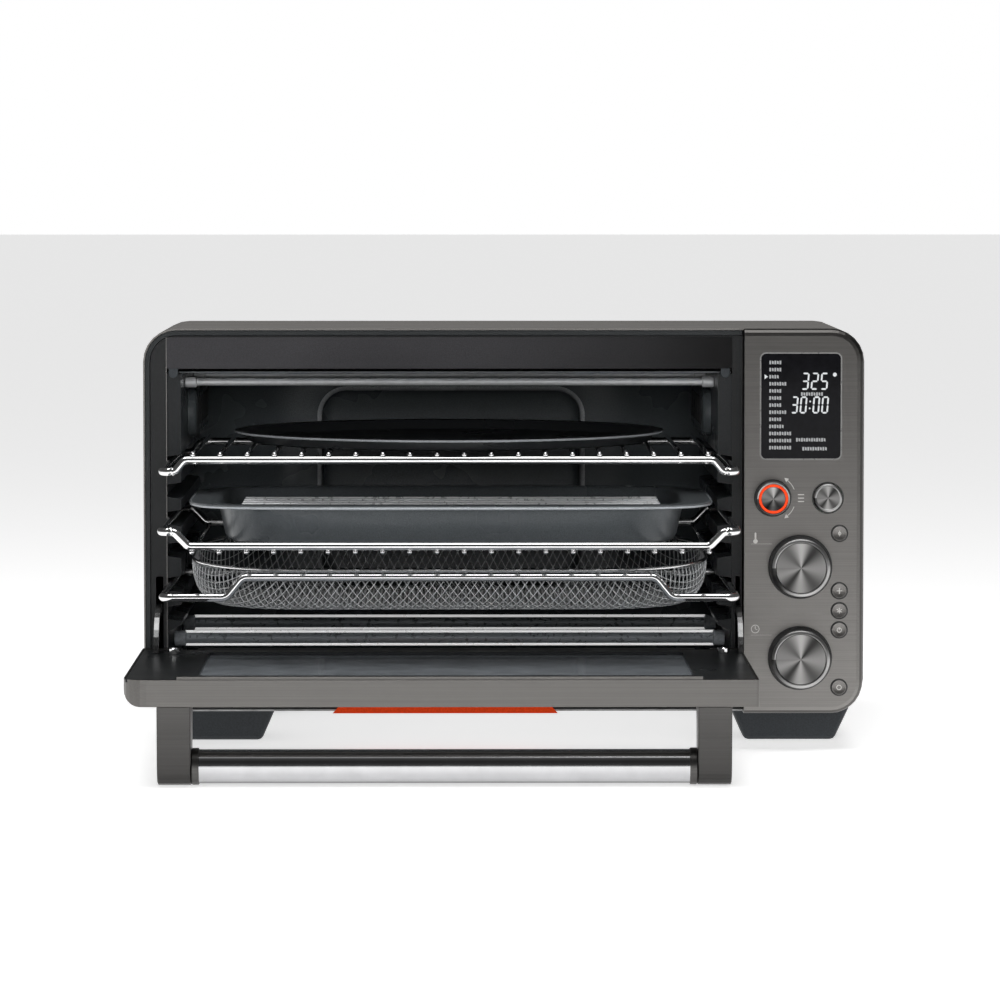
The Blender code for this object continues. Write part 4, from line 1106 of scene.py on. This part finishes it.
def make_marks():
    """Generic printed marks: a thermometer, a clock, rules, and arrows and ticks by the select dial."""
    corner = node_box("control_panel")[0]
    front, back = corner.y - 0.05, corner.y + 0.1
    x, above = corner.x + 8.5, 22
    heat, time = (on_panel(node)[0][2] + above for node in ("temperature_knob", "time_knob"))
    (centre, _, middle), dial, _ = on_panel("select_dial")

    def build(work):
        prism(work, arc(x, heat - 2.6, 1.7, 0, 360, 18)[:-1], front, back)
        stroke(work, x, heat - 2.0, x, heat + 4.2, 1.3, front, back)
        ring_mark(work, x, time, 3.2, 24, front, back)
        stroke(work, x, time, x, time + 2.3, 0.55, front, back)
        stroke(work, x, time, x + 1.7, time - 0.6, 0.55, front, back)
        right, reach = centre + dial + 5.4, dial + 4.2
        for k in (-1, 0, 1):
            stroke(work, right, middle + 2.6 * k, right + 5.0, middle + 2.6 * k, 0.7, front, back)
        for level in (heat - 4.6, time - 4.6):
            prism(work, box_outline(x - 3.4, x + 12.6, level - 0.1, level + 0.1, 0.05, 1), front, back)
        for side in (-1, 1):
            outer = arc(centre, middle, reach, side * 22, side * 52, 8)
            inner = arc(centre, middle, reach - 0.5, side * 52, side * 22, 8)
            prism(work, outer + inner, front, back)
            tip, foot = math.radians(side * 60), math.radians(side * 50)
            arrow = [(reach, tip), (reach + 1.4, foot), (reach - 1.9, foot)]
            prism(work, polar(centre, middle, arrow), front, back)

    flat_piece("panel_marks", build, ["mark"], "oven_body")


def make_controls():
    make_knob("temperature_knob", "temperature_dial")
    make_knob("time_knob", "time_dial")
    make_select_dial()
    make_start_button()
    for name in SMALL_BUTTONS:
        make_small_button(name)
        make_symbol(name)
    make_display()
    make_marks()


# ---- door ----
def make_door_pieces():
    """The polished bar, and satin collars where it enters its brackets."""
    low, high = node_box("handle_bar")
    radius = (high.z - low.z) / 2
    _, y, z = centre_of(low, high)
    long, wide, bar = high.x - low.x, 5.2, radius - 1.0
    profile = [
        (radius - 2, wide, 0), (radius - 0.5, wide, 0), (radius, wide - 0.5, 0),
        (radius, 0.5, 0), (radius - 0.5, 0, 0), (radius - 2, 0, 0), (radius - 2, wide, 0),
    ]
    for side, x in (("left", low.x), ("right", high.x - wide)):
        origin = (x, y, z)
        lathe(f"{side}_bar_collar", origin, (1, 0, 0), profile, ["collar_steel"], "door")
    profile = [
        (0, long, 0), (bar - 0.4, long, 0), (bar, long - 0.4, 0), (bar, 0.4, 0), (bar - 0.4, 0, 0), (0, 0, 0),
    ]
    origin = (low.x, y, z)
    lathe("handle_bar_tube", origin, (1, 0, 0), profile, ["bar_chrome"], "door", "handle_bar", 96)


# ---- studio ----
def area_light(name, place, target, size, power, mirrored=True):
    """A soft light; with mirrored off, it is not seen in polished metal."""
    light = bpy.data.lights.new(name, "AREA")
    light.shape = "RECTANGLE"
    light.size, light.size_y = size
    light.energy = power
    made = bpy.data.objects.new(name, light)
    made.location = place
    made.rotation_euler = (Vector(target) - Vector(place)).to_track_quat("-Z", "Y").to_euler()
    bpy.context.scene.collection.objects.link(made)
    made.visible_camera = False
    made.visible_glossy = mirrored


FLOOR_FRONT, FLOOR_REACH = -1.6, 30.0  # in metres, from the middle of the oven


def make_floor():
    """A wide pale floor, which ends a little in front of the oven to keep its front from glaring."""
    mesh = bpy.data.meshes.new("floor")
    work = bmesh.new()
    side, near = FLOOR_REACH, FLOOR_FRONT
    corners = [(-side, near), (side, near), (side, side), (-side, side)]
    work.faces.new([work.verts.new((x, y, 0.0)) for x, y in corners])
    work.to_mesh(mesh)
    work.free()
    floor = bpy.data.objects.new("floor", mesh)
    paint = Paint("floor_white", (0.8, 0.8, 0.8), 0.0, 0.7, Specular_IOR_Level=0.1)
    paint.tint(paint.noise(paint.coords, 3.0, 2.0), 0.995, 1.0)
    paint.set("Emission Color", (1.0, 1.0, 1.0, 1.0))
    paint.set("Emission Strength", 0.6)
    mesh.materials.append(paint.material)
    bpy.context.scene.collection.objects.link(floor)


SKY = (  # how bright the studio is, from below to above
    (0.0, 0.7), (0.46, 0.55), (0.49, 0.1), (0.82, 0.06), (0.93, 0.15), (0.97, 0.9), (1.0, 1.0),
)
MIX_FACTOR, MIX_A, MIX_B, MIX_RESULT = 0, 6, 7, 2  # a colour Mix node's sockets


def make_studio():
    make_floor()
    world = bpy.data.worlds.new("studio")
    world.use_nodes = True
    nodes, links = world.node_tree.nodes, world.node_tree.links
    coords = nodes.new("ShaderNodeTexCoord")
    split = nodes.new("ShaderNodeSeparateXYZ")
    links.new(coords.outputs["Generated"], split.inputs["Vector"])
    height = nodes.new("ShaderNodeMapRange")
    height.inputs["From Min"].default_value = -1.0
    links.new(split.outputs["Z"], height.inputs["Value"])
    ramp = nodes.new("ShaderNodeValToRGB")
    set_stops(ramp, [(position, (level, level, level)) for position, level in SKY])
    links.new(height.outputs["Result"], ramp.inputs["Fac"])
    backdrop = nodes.new("ShaderNodeMix")
    backdrop.data_type = "RGBA"
    seen = nodes.new("ShaderNodeLightPath")
    links.new(seen.outputs["Is Camera Ray"], backdrop.inputs[MIX_FACTOR])
    links.new(ramp.outputs["Color"], backdrop.inputs[MIX_A])
    backdrop.inputs[MIX_B].default_value = (1.0, 1.0, 1.0, 1.0)
    links.new(backdrop.outputs[MIX_RESULT], nodes["Background"].inputs["Color"])
    bpy.context.scene.world = world
    area_light("overhead", (-0.1, -0.35, 2.2), (0, -0.1, 0.0), (2.4, 1.2), 36)
    area_light("front_left", (-1.8, -2.4, 1.3), (0, 0, 0.15), (1.0, 1.6), 7, False)
    area_light("front_right", (1.9, -2.2, 0.9), (0.1, 0, 0.15), (0.9, 1.4), 6, False)
    area_light("into_cavity", (-0.05, -2.2, 0.55), (-0.04, 0.2, 0.18), (0.8, 0.5), 24, False)
    area_light("front_low", (-0.1, -2.0, 0.1), (-0.04, 0.2, 0.18), (2.0, 0.2), 1.2)


CAMERA_DISTANCE, CAMERA_X, CAMERA_Z = 4018.3, -35.9, 442.3
FOCAL = 5.310  # focal length over the sensor's width
SENSOR = 36.0
AIM = (0.00821, -0.06302)  # slope of the view to the right and up


def make_camera():
    lens = bpy.data.cameras.new("camera")
    lens.lens = FOCAL * SENSOR
    lens.sensor_width = SENSOR
    lens.clip_end = 100.0
    made = bpy.data.objects.new("camera", lens)
    made.location = at(CAMERA_X, -CAMERA_DISTANCE, CAMERA_Z)
    made.rotation_euler = Vector((AIM[0], 1.0, AIM[1])).to_track_quat("-Z", "Y").to_euler()
    bpy.context.scene.collection.objects.link(made)
    bpy.context.scene.camera = made
    bpy.context.scene.view_settings.view_transform = "Standard"


finish_cad_nodes()
rack("upper_rack_frame", "upper_rack", 8.6, 194.5, 201.5)
rack("middle_rack_frame", "middle_rack", -10.6, 190.5, 201.0)
make_basket()
make_pans()
make_cavity()
make_grip()
make_controls()
make_door_pieces()
make_studio()
make_camera()
